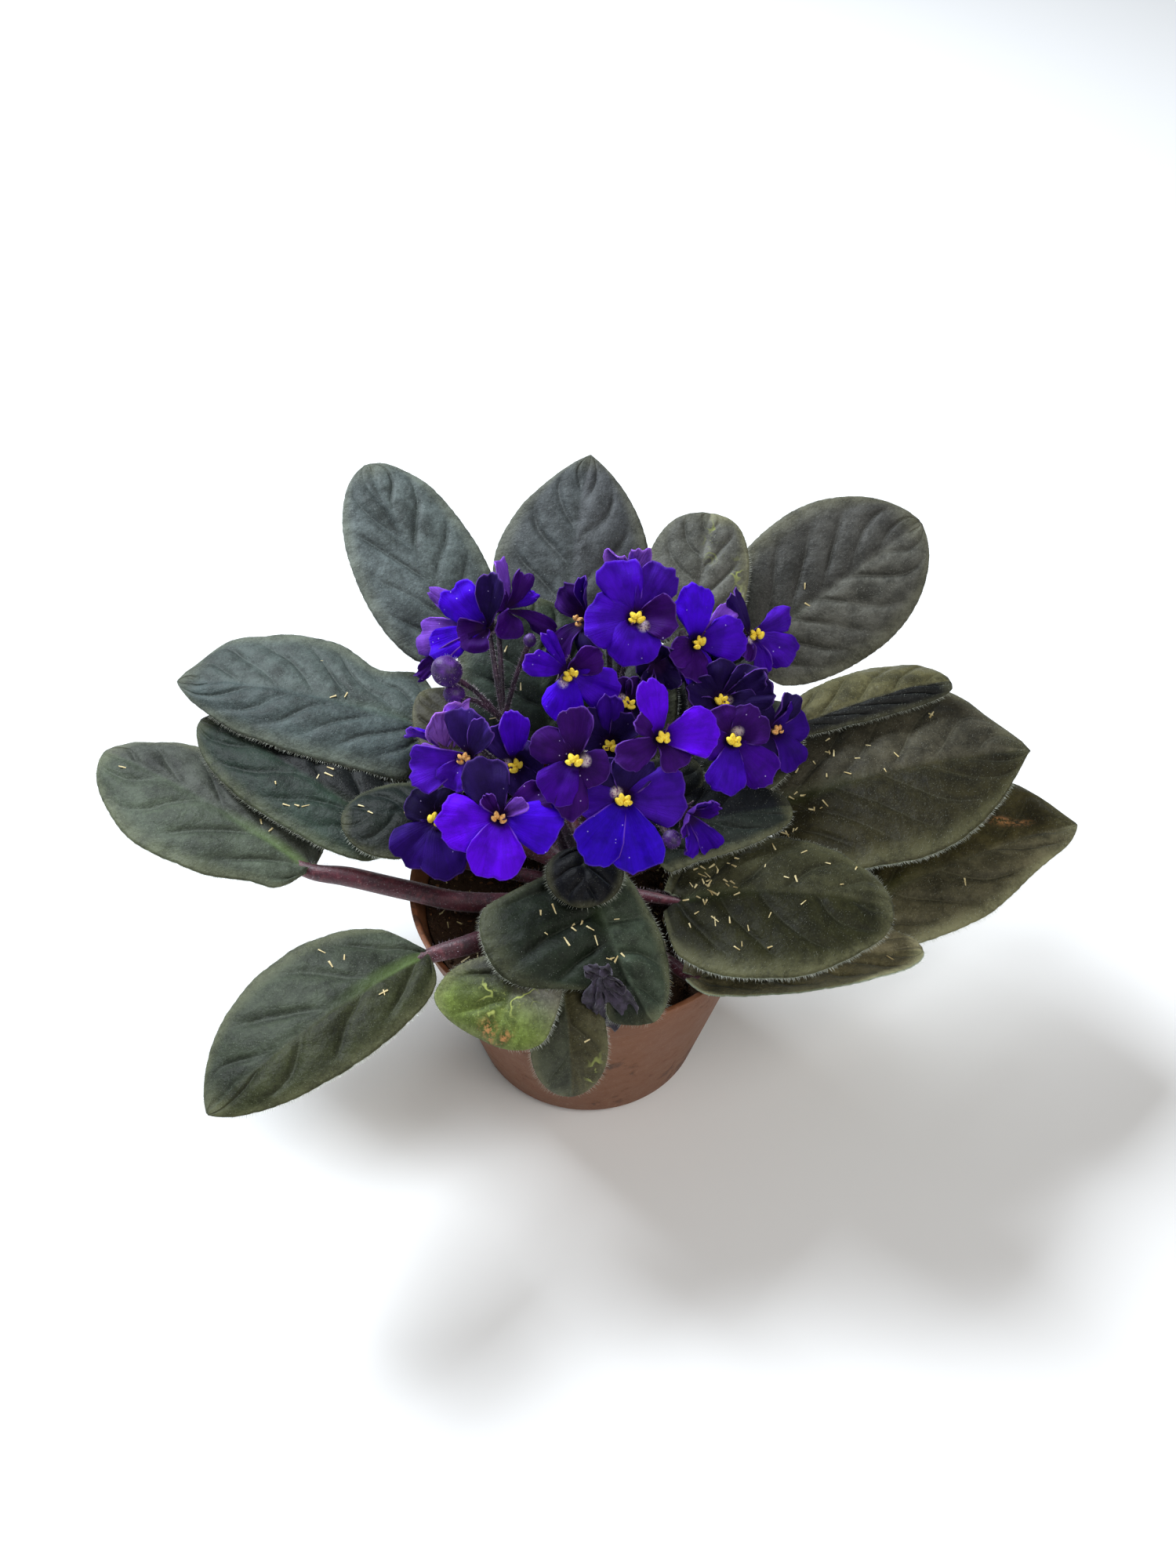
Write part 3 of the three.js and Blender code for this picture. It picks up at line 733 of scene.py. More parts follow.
# The heart leaves' very dark tones are painted shade from the blooms above, over their own colour.
heartLeaves = {
    "front": {
        "base": (-1, -13, 112), "tip": (-1, -34, 108), "half": (12, 12), "root": 98, "arch": 2,
        "point": 0.2, "veins": 3, "toneAndShade": ((7, 8, 14), (7, 8, 14))},
    "right": {
        "base": (20, -6, 108), "tip": (66, 7, 110), "half": (22, 13), "root": 95, "wide": (0.6, 0.3),
        "point": -0.3, "blunt": (0.5, 1), "veins": 4, "teeth": 2.2, "toneAndShade": ((18, 21, 26), (33, 39, 34)),
        "edge": (0.2, 0.4)},
    "back": {
        "base": (-13, 33, 112), "tip": (-21, 78, 140), "half": (29, 24), "root": 96,
        "toneAndShade": ((44, 54, 46), (44, 54, 42))},
    "left": {
        "base": (-24, 26, 102), "tip": (-58, 58, 114), "half": (17, 20), "root": 92, "veins": 4,
        "toneAndShade": ((56, 54, 42), (48, 46, 36))},
    "inner": {
        "base": (4, 26, 106), "tip": (16, 72, 131), "half": (19, 21), "root": 95, "veins": 4,
        "toneAndShade": ((34, 38, 36), (34, 38, 34))},
    "lowLeft": {
        "base": (-16, 6, 96), "tip": (-66, 34, 97), "half": (14, 16), "root": 92, "veins": 4,
        "toneAndShade": ((20, 24, 23), (18, 22, 22))},
    "middle": {
        "base": (6, -2, 104), "tip": (36, 26, 112), "half": (15, 15), "root": 95, "veins": 4,
        "toneAndShade": ((18, 22, 22), (18, 22, 22))},
    "innerBack": {
        "base": (20, 34, 106), "tip": (54, 72, 126), "half": (27, 24), "root": 96, "veins": 4,
        "toneAndShade": ((26, 29, 31), (26, 28, 30))},
    "innerRight": {
        "base": (34, 20, 106), "tip": (70, 46, 118), "half": (18, 20), "root": 95, "veins": 4,
        "toneAndShade": ((34, 38, 34), (34, 36, 32))},
}
for group in (leaves, heartLeaves):
    for name, leaf in group.items():
        group[name] = {**plainLeaf, **leaf}


def bladeAxes(leaf):
    base = Vector(leaf["base"])
    along = Vector(leaf["tip"]) - base
    length = along.length
    along.normalize()
    right = along.cross(upward).normalized()
    right.rotate(Matrix.Rotation(math.radians(leaf["roll"]), 3, along))
    return {"base": base, "along": along, "right": right, "up": right.cross(along), "length": length}


def sideOf(across):
    return 1 if across > 0 else 0


def bladeWidth(leaf, share, side):
    wide = leaf["wide"][side]
    if share < wide:
        blunt = leaf["blunt"][side]
        width = blunt + (1 - blunt) * math.sqrt(1 - ((wide - share) / wide) ** 2.2)
    else:
        forward = (share - wide) / (1 - wide)
        width = max(1 - forward ** 2, 0.004) ** (1 / (2 - leaf["point"]))
    for bittenSide, middle, size, depth in leaf["bites"]:
        if bittenSide == side:
            width *= 1 - depth * math.exp(-((share - middle) / size) ** 2)
    return width


def veinPhase(leaf, across, share, side):
    wobble = noise.noise(Vector((across * 1.6, share * 3, leaf["root"] * 0.37 + side * 5)))
    return leaf["veins"] * (share + 0.12 - leaf["sweep"] * abs(across) ** 1.1) + 0.3 * side + 0.3 * wobble


def bladeRelief(leaf, across, share, side):
    # sunken midrib and side veins with cushions between them
    reach = abs(across)
    fromRib = reach * (leaf["half"][side] * bladeWidth(leaf, share, side))
    rib = -leafForm["ribDepth"] * math.exp(-(fromRib / leafForm["ribWidth"]) ** 2) * (1 - 0.6 * share)
    beat = abs(veinPhase(leaf, across, share, side) % 1 - 0.5) * 2  # 0 on a vein, 1 midway
    window = softStep(0.0, 0.2, reach) * (1 - softStep(0.55, 0.92, reach)) * (1 - softStep(0.8, 1.0, share))
    groove = -leafForm["veinDepth"] * leaf["quilt"] * math.exp(-(beat / leafForm["veinWidth"]) ** 2)
    cushion = leafForm["cushion"] * leaf["quilt"] * (math.sin(beat * math.pi / 2) - 0.5)
    turns = 1.6 * share + 0.37 * side + 0.1 * leaf["veins"]
    wave = leaf["wave"] * reach ** 2 * math.sin(2 * math.pi * turns)
    return rib + (groove + cushion) * window + wave * math.sin(math.pi * min(1, share + 0.05))


def bladePlace(leaf, axes, across, share, lifted=0.0):
    side = sideOf(across)
    width = bladeWidth(leaf, share, side)
    corner = 1 - 0.5 * (1 - min(1, share / 0.06)) ** 2  # rounds the blade in at the stalk
    tooth = math.sin(share * math.pi * leafForm["teeth"]) * leafForm["toothSize"] * leaf["teeth"]
    bow = 4 * share * (1 - share)
    forward = share * axes["length"] - leaf["lobe"] * abs(across) * (1 - share) ** 3
    sideways = leaf["sway"] * bow + across * leaf["half"][side] * width * corner
    sideways += math.copysign(tooth * abs(across) ** 6 * min(1, width * 2), across)
    height = leaf["arch"] * bow + leaf["lift"][side] * across ** 2 * width + lifted
    return axes["base"] + axes["along"] * forward + axes["right"] * sideways + axes["up"] * height


def bladeSurface(leaf, axes, across, share, above=0.0):
    # a place on the blade with its veins, cushions and small bumps
    place = bladePlace(leaf, axes, across, share, bladeRelief(leaf, across, share, sideOf(across)))
    pebbles = leafForm["pebble"] * leaf["quilt"] * noise.noise(place * 0.27)
    bumps = leafForm["bumps"] * noise.noise(place * 0.09) + pebbles
    return place + axes["up"] * (bumps + above)


def spotAt(spots, across, share):
    level = 0.0
    for spotAcross, spotShare, size in spots:
        level += math.exp(-(((across - spotAcross) / size) ** 2 + ((share - spotShare) / (size * 0.7)) ** 2))
    return min(1.0, level)


def makeBlade(leaf, axes):
    blade = addGrid("blade", leafCells["across"], leafCells["along"])
    mesh = blade.data
    spots = [(v.co.x, (v.co.y + 1) / 2) for v in mesh.vertices]
    body = blade.vertex_groups.new(name="body")
    # each side's own colour with its painted shade and light
    left, right = (paint(*toneAndShade) for toneAndShade in leaf["toneAndShade"])
    tints = []
    values = {"ribGreen": [], "pale": [], "scar": [], "edge": []}
    for i, (across, share) in enumerate(spots):
        place = bladeSurface(leaf, axes, across, share)
        mesh.vertices[i].co = place * mm
        tint = blendColour(left, right, softStep(-0.05, 0.05, across))
        if leaf["tipTone"]:
            tint = blendColour(tint, paint(*leaf["tipTone"]), softStep(0.4, 0.85, share))
        drift = noise.noise(place * 0.045 + Vector((7, 3, 1)))
        tints.append(shadedColour(tint, 1 + leafForm["patches"] * drift))
        values["ribGreen"].append(leaf["ribGreen"] * (1 - softStep(0.05, 0.5, share)))
        values["pale"].append(spotAt(leaf["pale"], across, share))
        values["scar"].append(spotAt(leaf["scars"], across, share))
        margin = max(softStep(0.72, 1, abs(across)), softStep(0.88, 1, share))
        values["edge"].append(leaf["edge"][sideOf(across)] * margin)
        body.add([i], max(0.0, min(1, (1 - abs(across)) * 5, (1 - share) * 12)), "REPLACE")
    mesh.uv_layers[0].name = "blade"
    veinMap = mesh.uv_layers.new(name="veins")
    for polygon in mesh.polygons:
        side = sideOf(sum(spots[v][0] for v in polygon.vertices))
        for loop, corner in zip(polygon.loop_indices, polygon.vertices):
            across, share = spots[corner]
            phase = veinPhase(leaf, across, share, side)
            veinMap.data[loop].uv = (abs(across), phase / markForm["mapScale"])
    dressSheet(blade, {"tint": tints}, values, (leafSkin, leafUnderside), axes["up"])
    thicken(blade, leafForm["thickness"], leafForm["margin"], backMaterial=1)
    blade.vertex_groups.clear()
    return blade


def makePetiole(leaf, axes):
    # from the crown to the blade, then under its midrib, getting thinner
    thick, thin = leaf["stalk"]
    rib = [*((share, thin * size) for share, size in leafForm["underRib"]), leafForm["ribEnd"]]
    under = [bladeSurface(leaf, axes, 0, share, -radius - 0.3) for share, radius in rib]
    under[0] += axes["up"] * thin * 0.7
    places = [(*crownAt, leaf["root"]), *leaf["via"]]
    radii = [thick] * len(places) + [radius for _, radius in rib]
    return stem("petiole", [*places, *under], radii, petioleSkin, 6, 4)


hairForm = {
    "marginStep": 0.42, "margin": (0.8, 1.9), "marginWidth": 0.065, "marginLean": (0.5, 0.35),  # up, along
    "surface": (0.35, 0.8), "surfaceWidth": 0.035, "perArea": 0.4,
    "forward": (-0.1, 0.7), "sideways": 0.4,  # lean of the hairs on the surface
}


def growHairs(leaf, axes, draw, fringe, fuzz):
    leanUp, leanAlong = hairForm["marginLean"]
    sideways = hairForm["sideways"]
    for side in (-1, 1):
        count = int((axes["length"] + leaf["half"][sideOf(side)]) / hairForm["marginStep"])
        for i in range(count):
            share = min(1.0, (i + draw.random()) / count)
            root = bladeSurface(leaf, axes, side, share)
            inner = bladePlace(leaf, axes, side * 0.9, share)
            outward = (root - inner).normalized() + axes["along"] * (0.2 + share ** 3)
            lean = axes["up"] * draw.uniform(-leanUp, leanUp)
            outward += lean + axes["along"] * draw.uniform(-leanAlong, leanAlong)
            outward.normalize()
            fringe.append((root - outward * 0.15, root + outward * draw.uniform(*hairForm["margin"])))
    for _ in range(int(axes["length"] * sum(leaf["half"]) * hairForm["perArea"])):
        across, share = draw.uniform(-0.98, 0.98), draw.uniform(0.02, 0.98)
        if draw.random() > bladeWidth(leaf, share, sideOf(across)):
            continue
        root = bladeSurface(leaf, axes, across, share, leafForm["thickness"] * 0.45)
        lean = axes["up"] + axes["along"] * draw.uniform(*hairForm["forward"])
        lean += axes["right"] * draw.uniform(-sideways, sideways)
        fuzz.append((root, root + lean.normalized() * draw.uniform(*hairForm["surface"])))


def growLeaf(leaf, draw, fringe, fuzz):
    axes = bladeAxes(leaf)
    growHairs(leaf, axes, draw, fringe, fuzz)
    return [makeBlade(leaf, axes), makePetiole(leaf, axes)]


def makeLeaves():
    draw = random.Random(11)
    fringe, fuzz = [], []
    for node, leaf in leaves.items():
        piece = joinPieces("fineLeaf_" + node, growLeaf(leaf, draw, fringe, fuzz))
        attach(piece, "root")
        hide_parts("leaf_" + node)
    places = [(*crownAt, height) for height in (48, 80, 101)]
    parts = [stem("crownStem", places, (7.6, 8, 6.5), petioleSkin, 4, 5)]
    for leaf in heartLeaves.values():
        parts += growLeaf(leaf, draw, fringe, fuzz)
    heart = joinPieces("heartOfRosette", parts)
    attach(heart, "root")
    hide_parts("crown")
    spikes("leafFringe", fringe, hairForm["marginWidth"], leafHair)
    spikes("leafFuzz", fuzz, hairForm["surfaceWidth"], leafHair)
    print("leaves ready:", len(leaves) + len(heartLeaves), "hairs:", len(fringe) + len(fuzz))


makeLeaves()


# Blooms. A petal is (direction, length, half width, lean forward, tone), the hindmost first.

petalForm = {
    "across": 16, "along": 18, "thickness": 0.45,
    "layer": 0.45,  # how far each petal lies above the last
    "throatRadius": 4, "throatDepth": 3,
    "notch": 0.6,  # length at the sides, as a share
    "spread": (1.16, 0.6),  # width of the angle, and what the foot adds
    "uneven": (0.07, 0.06),  # broad and fine waves of the edge
    "cup": 0.6, "curl": 1.6, "phase": 6.3,
    "ruffle": 0.75, "frill": 0.3,  # heights of five and thirteen waves
    "crease": 0.55, "creaseWidth": 0.14,
    # tipLight is painted light: petals grow lighter towards the tip
    "mottle": 0.22, "tipLight": 0.12,
}
petalTones = {
    "B": paint(90, 0, 228),  # brightest violet
    "b": paint(66, 0, 214),
    "e": paint(48, 0, 190),  # electric blue
    "v": paint(66, 4, 184),
    "m": paint(58, 8, 148),
    "q": paint(64, 0, 150),  # deep violet
    "p": paint(55, 7, 104),  # dark purple
    "n": paint(36, 17, 82),  # navy, the oldest blooms
    "l": paint(118, 70, 190),  # lilac
    "L": paint(176, 118, 246),
}
plainBloom = {
    "toneShadeGain": 1,  # how bright its petals are: their own tone with painted shade and light for where the bloom lies
    "anthers": True,
    "dry": False,  # brown anthers
    "style": None,  # where its tip leans, or by chance
    "throat": (0, 0),  # where the pale patch lies beside the anthers
    "ruffle": 1,
    "node": True,  # False for a small bloom without a solid
}
blooms = {
    "top": {
        "at": (15, 37, 164), "faces": (0, 42), "throat": (2.4, -2.6), "petals": ((111, 19.5, 6.8, 12, "v"),
        (58, 19, 6.4, 14, "m"), (186, 16.5, 8.4, 10, "v"), (360, 14.5, 7, 30, "p"), (263, 15, 8.6, 5, "v"))},
    "back_mid": {
        "at": (-6, 27, 150), "faces": (12, 28), "toneShadeGain": 1.15, "throat": (-2.4, -2.4),
        "petals": ((28, 12, 5, 20, "p"), (115, 22, 2.6, 40, "v"), (152, 18.5, 4.4, 35, "v"),
        (327, 17, 6.4, 10, "v"), (251, 15, 6.4, 10, "b"))},
    "left_high": {
        "at": (-34, 49, 150), "faces": (-25, 38), "anthers": False, "petals": ((163, 22.5, 3.2, 0, "l"),
        (206, 25, 6.4, -6, "l"), (79, 21, 5.6, 35, "n"), (146, 17.5, 7, 20, "b"), (219, 19.5, 5.4, 5, "b"),
        (240, 9, 6.4, 14, "p"), (228, 31, 2.6, -10, "p"))},
    "left_back": {
        "at": (-25, 57, 152), "faces": (60, 35), "anthers": False, "petals": ((76, 17, 3, 20, "l"),
        (120, 12, 5, 20, "p"), (350, 12, 2.4, 20, "v"), (34, 13, 4.2, 20, "p"), (200, 12, 5, 10, "p"),
        (292, 18.5, 3.4, 20, "p"))},
    "behind_top": {
        "at": (-2, 53, 150), "faces": (-50, 30), "toneShadeGain": 0.75, "dry": True, "petals": ((40, 13, 5, 20, "n"),
        (92, 17, 2, 30, "m"), (149, 13.5, 5.8, 25, "p"), (330, 13, 5.5, 15, "n"),
        (262, 15.5, 5.2, 10, "p"))},
    "right_high": {
        "at": (35, 43, 149), "faces": (25, 35), "toneShadeGain": 1.15, "style": (1.9, 3.3),
        "petals": ((22, 18, 3.6, -10, "l"), (80, 18.3, 6.6, 15, "b"), (263, 15.5, 5.2, 10, "v"),
        (245, 14, 5.4, 30, "p"), (351, 17, 7.4, 12, "v"), (185, 13, 5.2, 30, "p"))},
    "right_small": {
        "at": (55, 54, 143), "faces": (30, 40), "toneShadeGain": 1.2, "throat": (-1.6, -0.6),
        "petals": ((108, 18.5, 2.9, 25, "n"), (7, 16, 4, 10, "m"), (223, 10, 2.4, 20, "p"),
        (262, 14.5, 3.2, 5, "m"), (312, 16.5, 5.8, 10, "m"))},
    "right_faded": {
        "at": (43, 29, 136), "faces": (10, 50), "toneShadeGain": 0.75, "throat": (1.8, 0), "ruffle": 3.4,
        "petals": ((75, 14, 6.6, 25, "n"), (28, 16.5, 6.2, 30, "n"), (8, 18, 6.2, 20, "n"),
        (155, 11.5, 5.8, 20, "n"), (213, 10.5, 5.4, 10, "n"), (330, 12, 6, 15, "n"))},
    "right_front": {
        "at": (45, 6, 141), "faces": (8, 32), "toneShadeGain": 0.88, "throat": (1.6, 2.2),
        "petals": ((118, 12, 6.4, 20, "p"), (37, 13, 6.8, 20, "p"), (190, 10, 5, 15, "q"),
        (307, 17.5, 6.4, 8, "q"), (254, 17, 6, 8, "v"))},
    "middle_right": {
        "at": (22, -5, 152), "faces": (28, 45), "style": (1.6, 3.4), "petals": ((135, 16, 3.6, 50, "p"),
        (90, 18, 5.4, 18, "B"), (190, 15.5, 4.6, 0, "p"), (285, 11, 5.4, 0, "p"),
        (349, 17.3, 7.6, 12, "B"))},
    "middle_back": {
        "at": (7, 13, 132), "faces": (0, 35), "petals": ((90, 18, 4.4, 30, "m"), (133, 15, 4.6, 20, "n"),
        (54, 12.5, 4.6, 20, "n"), (195, 9, 4.6, 10, "n"), (345, 9, 4.6, 10, "n"), (270, 9, 4.4, 10, "n"))},
    "middle_left": {
        "at": (-4, -9, 147), "faces": (-10, 38), "toneShadeGain": 0.85, "throat": (3.2, 0),
        "petals": ((92, 16.6, 5.6, 18, "p"), (160, 13.8, 5.8, 15, "p"), (340, 11, 5.6, 5, "p"),
        (273, 17.5, 4.6, 5, "p"), (244, 14.6, 6.6, 10, "q"))},
    "inner_left": {
        "at": (-23, 5, 131), "faces": (5, 32), "toneShadeGain": 1.35, "throat": (-3, 0),
        "petals": ((121, 14.5, 4.6, 20, "n"), (88, 18, 4.8, 20, "v"), (216, 10.5, 5.2, 10, "m"),
        (19, 9.5, 5, 10, "n"), (283, 10, 5.8, 10, "n"))},
    "front_right": {
        "at": (11, -12, 133), "faces": (0, 40), "throat": (-2.3, 2), "petals": ((112, 13.5, 6, 14, "n"),
        (73, 15, 6.6, 14, "n"), (183, 14.5, 6, 5, "m"), (4, 19.5, 8.6, 12, "m"), (285, 22.5, 8, 8, "e"),
        (238, 21.5, 7.2, 8, "e"))},
    "front_left": {
        "at": (-27, -17, 130), "faces": (0, 45), "dry": True, "petals": ((28, 17, 5.2, 5, "p"),
        (110, 18.4, 7.2, 12, "n"), (189, 18.4, 8.2, 8, "B"), (349, 19.6, 7.8, 8, "b"),
        (265, 18.4, 8.6, 5, "B"), (121, 9, 2.4, 35, "p"), (31, 10.5, 2.6, 28, "l"))},
    "low_left": {
        "at": (-48, -4, 115), "faces": (-12, 48), "toneShadeGain": 0.45, "petals": ((140, 12, 6.4, 15, "n"),
        (55, 11.5, 5.8, 15, "n"), (340, 14, 6.2, 8, "m"), (235, 17.5, 7.2, 8, "m"), (293, 19, 7.4, 8, "m"))},
    "left_mid": {
        "at": (-38, 3, 136), "faces": (-28, 32), "toneShadeGain": 1.6, "dry": True,
        "petals": ((98, 17, 6.2, 20, "n"), (63, 17, 4.4, 25, "n"), (326, 12, 5.4, 10, "n"),
        (212, 19.5, 7.4, 15, "m"), (259, 11.5, 5.2, 25, "m"))},
    "left_pale": {
        "at": (-48, 21, 125.5), "faces": (-150, 20), "toneShadeGain": 1.15, "anthers": False,
        "petals": ((94, 16, 7, 15, "L"), (119, 18.5, 4.4, 20, "L"), (42, 16, 2.6, 20, "v"),
        (200, 13, 5.4, 10, "l"), (280, 13, 5.4, 10, "l"))},
    "right_edge": {
        "at": (61, 26, 126), "faces": (40, 40), "toneShadeGain": 0.75, "dry": True,
        "petals": ((35, 13.5, 4.4, 20, "n"), (120, 11, 5.4, 20, "n"), (352, 13, 6.4, 10, "m"),
        (200, 11, 5.4, 10, "n"), (271, 15, 5.6, 5, "m"))},
    "half_open": {
        "at": (33, -8, 120), "faces": (35, 10), "toneShadeGain": 0.8, "anthers": False,
        "petals": ((80, 12, 4.4, 50, "m"), (20, 11, 4.2, 50, "q"), (160, 11, 4.2, 50, "q"),
        (235, 12.5, 3.6, 40, "v"), (285, 12.5, 4.2, 30, "v"))},
    "back_pale": {
        "at": (14, 63, 160), "faces": (175, 25), "petals": ((70, 16.5, 3.8, 12, "l"),
        (106, 16, 3.6, 12, "l"), (190, 10, 5, 12, "l"), (350, 9, 5, 12, "l"), (270, 10, 5, 12, "l"))},
    "tucked": {
        "at": (13, 24, 140), "faces": (0, 40), "toneShadeGain": 0.6, "throat": (-2.2, 0.8), "node": False,
        "petals": ((120, 9, 4, 25, "p"), (60, 9, 4, 25, "p"), (200, 8, 4, 20, "p"), (340, 8, 4, 20, "n"),
        (270, 8, 4, 15, "n"))},
    "spent": {
        "at": (22, 33, 148), "faces": (10, 30), "toneShadeGain": 0.65, "anthers": False, "ruffle": 4, "node": False,
        "petals": ((100, 8, 4.5, 40, "n"), (30, 8, 4.5, 35, "n"), (170, 8, 4.5, 35, "n"),
        (300, 9, 4.5, 30, "n"), (240, 9, 4.5, 30, "n"))},
    "faded": {
        "at": (38, 42, 139), "faces": (20, 45), "toneShadeGain": 0.8, "anthers": False, "ruffle": 3, "node": False,
        "petals": ((100, 9, 4.5, 20, "p"), (30, 8, 4.5, 25, "n"), (165, 12, 5, 15, "p"),
        (300, 9, 4.5, 20, "n"), (235, 9, 4.5, 20, "p"))},
}
for name, bloom in blooms.items():
    blooms[name] = {**plainBloom, **bloom}


def bloomAxes(bloom):
    turn, tilt = (math.radians(angle) for angle in bloom["faces"])
    facing = Vector((math.sin(turn) * math.cos(tilt), -math.cos(turn) * math.cos(tilt), math.sin(tilt)))
    up = (upward - facing * facing.z).normalized()
    return {"at": Vector(bloom["at"]), "facing": facing, "up": up, "right": up.cross(facing)}


def inBloom(axes, x, y, height):
    return axes["at"] + axes["right"] * x + axes["up"] * y + axes["facing"] * height


def makePetal(bloom, axes, layer, petal, draw):
    direction, length, halfWidth, lean, toneName = petal
    form = petalForm
    (broad, fine), (spread, footSpread) = form["uneven"], form["spread"]
    sheet = addGrid("petal", form["across"], form["along"])
    mesh = sheet.data
    # the petal's own colour, with the bloom's painted shade and light
    toneAndShade = shadedColour(petalTones[toneName], bloom["toneShadeGain"])
    backTone = blendColour(toneAndShade, petalTones["L" if toneName in "lL" else "l"], 0.5)
    cup = form["cup"] * draw.uniform(-1.2, 2.4)
    curl = form["curl"] * draw.uniform(0.2, 1.5)
    phase = draw.uniform(0, form["phase"])
    nick = draw.choice((0, 0, 0.04, 0.08))
    pointed = draw.uniform(-0.02, 0.14)
    lean = math.radians(lean)
    half = math.asin(min(0.94, halfWidth / (0.74 * length)))
    seed = Vector((layer * 7.7, direction * 0.1, length))
    spots = [(v.co.x, (v.co.y + 1) / 2) for v in mesh.vertices]
    tints, backs = [], []
    values = {"middle": [], "throat": []}
    for vertex, (x, share) in zip(mesh.vertices, spots):
        rounded = form["notch"] + (1 - form["notch"]) * math.sqrt(max(0, 1 - abs(x) ** 2.6))
        midline = math.exp(-(x / form["creaseWidth"]) ** 2)
        rounded *= 1 - nick * midline + pointed * ((1 - abs(x)) ** 1.5 - 0.35)
        uneven = 1 + broad * noise.noise(Vector((x * 2.2, 0, 0)) + seed)
        rounded *= uneven + fine * noise.noise(Vector((x * 6, 3, 0)) + seed)
        angle = math.radians(direction) + half * x * (spread + footSpread * (1 - share) ** 2)
        reach = (0.03 + 0.97 * share) * rounded * length
        inner = min(reach, form["throatRadius"])
        beyond = reach - inner
        height = (inner / form["throatRadius"] - 1) * form["throatDepth"] + math.sin(lean) * beyond
        run = inner + math.cos(lean) * beyond
        outer = softStep(0.25, 1, share)
        height += layer * form["layer"] * softStep(1, 6, reach) + cup * x * x * outer * 2
        height -= curl * softStep(0.5, 1, share) ** 2
        height += form["ruffle"] * bloom["ruffle"] * math.sin(x * 5 + phase) * outer
        height += form["frill"] * math.sin(x * 13 + 2 * phase) * softStep(0.55, 1, share)
        crease = form["crease"] * midline * softStep(0.15, 0.5, share)
        height -= crease * (1 - softStep(0.6, 1, share))
        flatX, flatY = math.cos(angle) * run, math.sin(angle) * run
        place = inBloom(axes, flatX, flatY, height)
        place += axes["facing"] * noise.noise(place * 0.16) * (0.5 + 0.9 * bloom["ruffle"]) * outer
        vertex.co = place * mm
        patchX, patchY = bloom["throat"]
        away = math.hypot(flatX - patchX, flatY - patchY)
        values["middle"].append(reach)
        values["throat"].append(away if any(bloom["throat"]) else 9)  # 9 is past the patch
        # painted light towards the petal's tip, with random mottle
        shade = 1 + form["mottle"] * noise.noise(place * 0.22) + form["tipLight"] * share
        tints.append(shadedColour(toneAndShade, shade))
        backs.append(shadedColour(backTone, shade))
    petalMap = mesh.uv_layers[0]
    petalMap.name = "petal"
    for loop in mesh.loops:
        x, share = spots[loop.vertex_index]
        petalMap.data[loop.index].uv = (x / 2 + 0.5, share)
    dressSheet(sheet, {"tint": tints, "backTint": backs}, values, (petalSkin, petalBack), axes["facing"])
    thicken(sheet, form["thickness"], backMaterial=1)
    return sheet


def makeBlooms():
    draw = random.Random(23)
    for node, bloom in blooms.items():
        axes = bloomAxes(bloom)
        sheets = [makePetal(bloom, axes, layer, petal, draw) for layer, petal in enumerate(bloom["petals"])]
        piece = joinPieces("corolla_" + node, sheets)
        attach(piece, "root")
        if bloom["node"]:
            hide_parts("bloom_" + node)
    print("blooms ready:", len(blooms))


makeBlooms()


# Stamens: two butterfly pairs of small plump lobes on a filament, and a thin dark style

antherForm = {
    "half": (0.95, 1.45, 0.95), "height": 2, "size": (0.82, 1.12), "drySize": 0.8, "foot": -1.9, "head": 1.4,
    "lobes": ((-0.8, 0.5, 24), (0.8, 0.5, -24), (-1.35, -0.75, 64), (1.35, -0.75, -64)),  # (x, y, turn)
    "seam": 0.16, "taper": 0.18, "wholeTurn": 35, "lobeTurn": 12, "lobeTilt": 22,
    "filament": (0.5, 0.55, 0.7), "style": (0.4, 0.22, 0.34),
    "styleEnd": (3, 4.8),  # how far it stands out by chance, and where its lean is known
}


def modelAnther():
    form = antherForm
    lobe = startWith(bpy.ops.mesh.primitive_uv_sphere_add, segments=18, ring_count=10, radius=1)
    halfX, halfY, halfZ = form["half"]
    for vertex in lobe.data.vertices:
        x, y, z = vertex.co
        seam = form["seam"] * math.exp(-(x / 0.3) ** 2) * max(0, z)
        width = x * halfX * (1 - form["taper"] * y)
        vertex.co = Vector((width, y * halfY, z * halfZ - seam)) * mm
    smoothOver(lobe)
    return lobe


def looseTurn(draw, degrees, axis, start=0):
    return Matrix.Rotation(math.radians(start + draw.uniform(-degrees, degrees)), 4, axis)


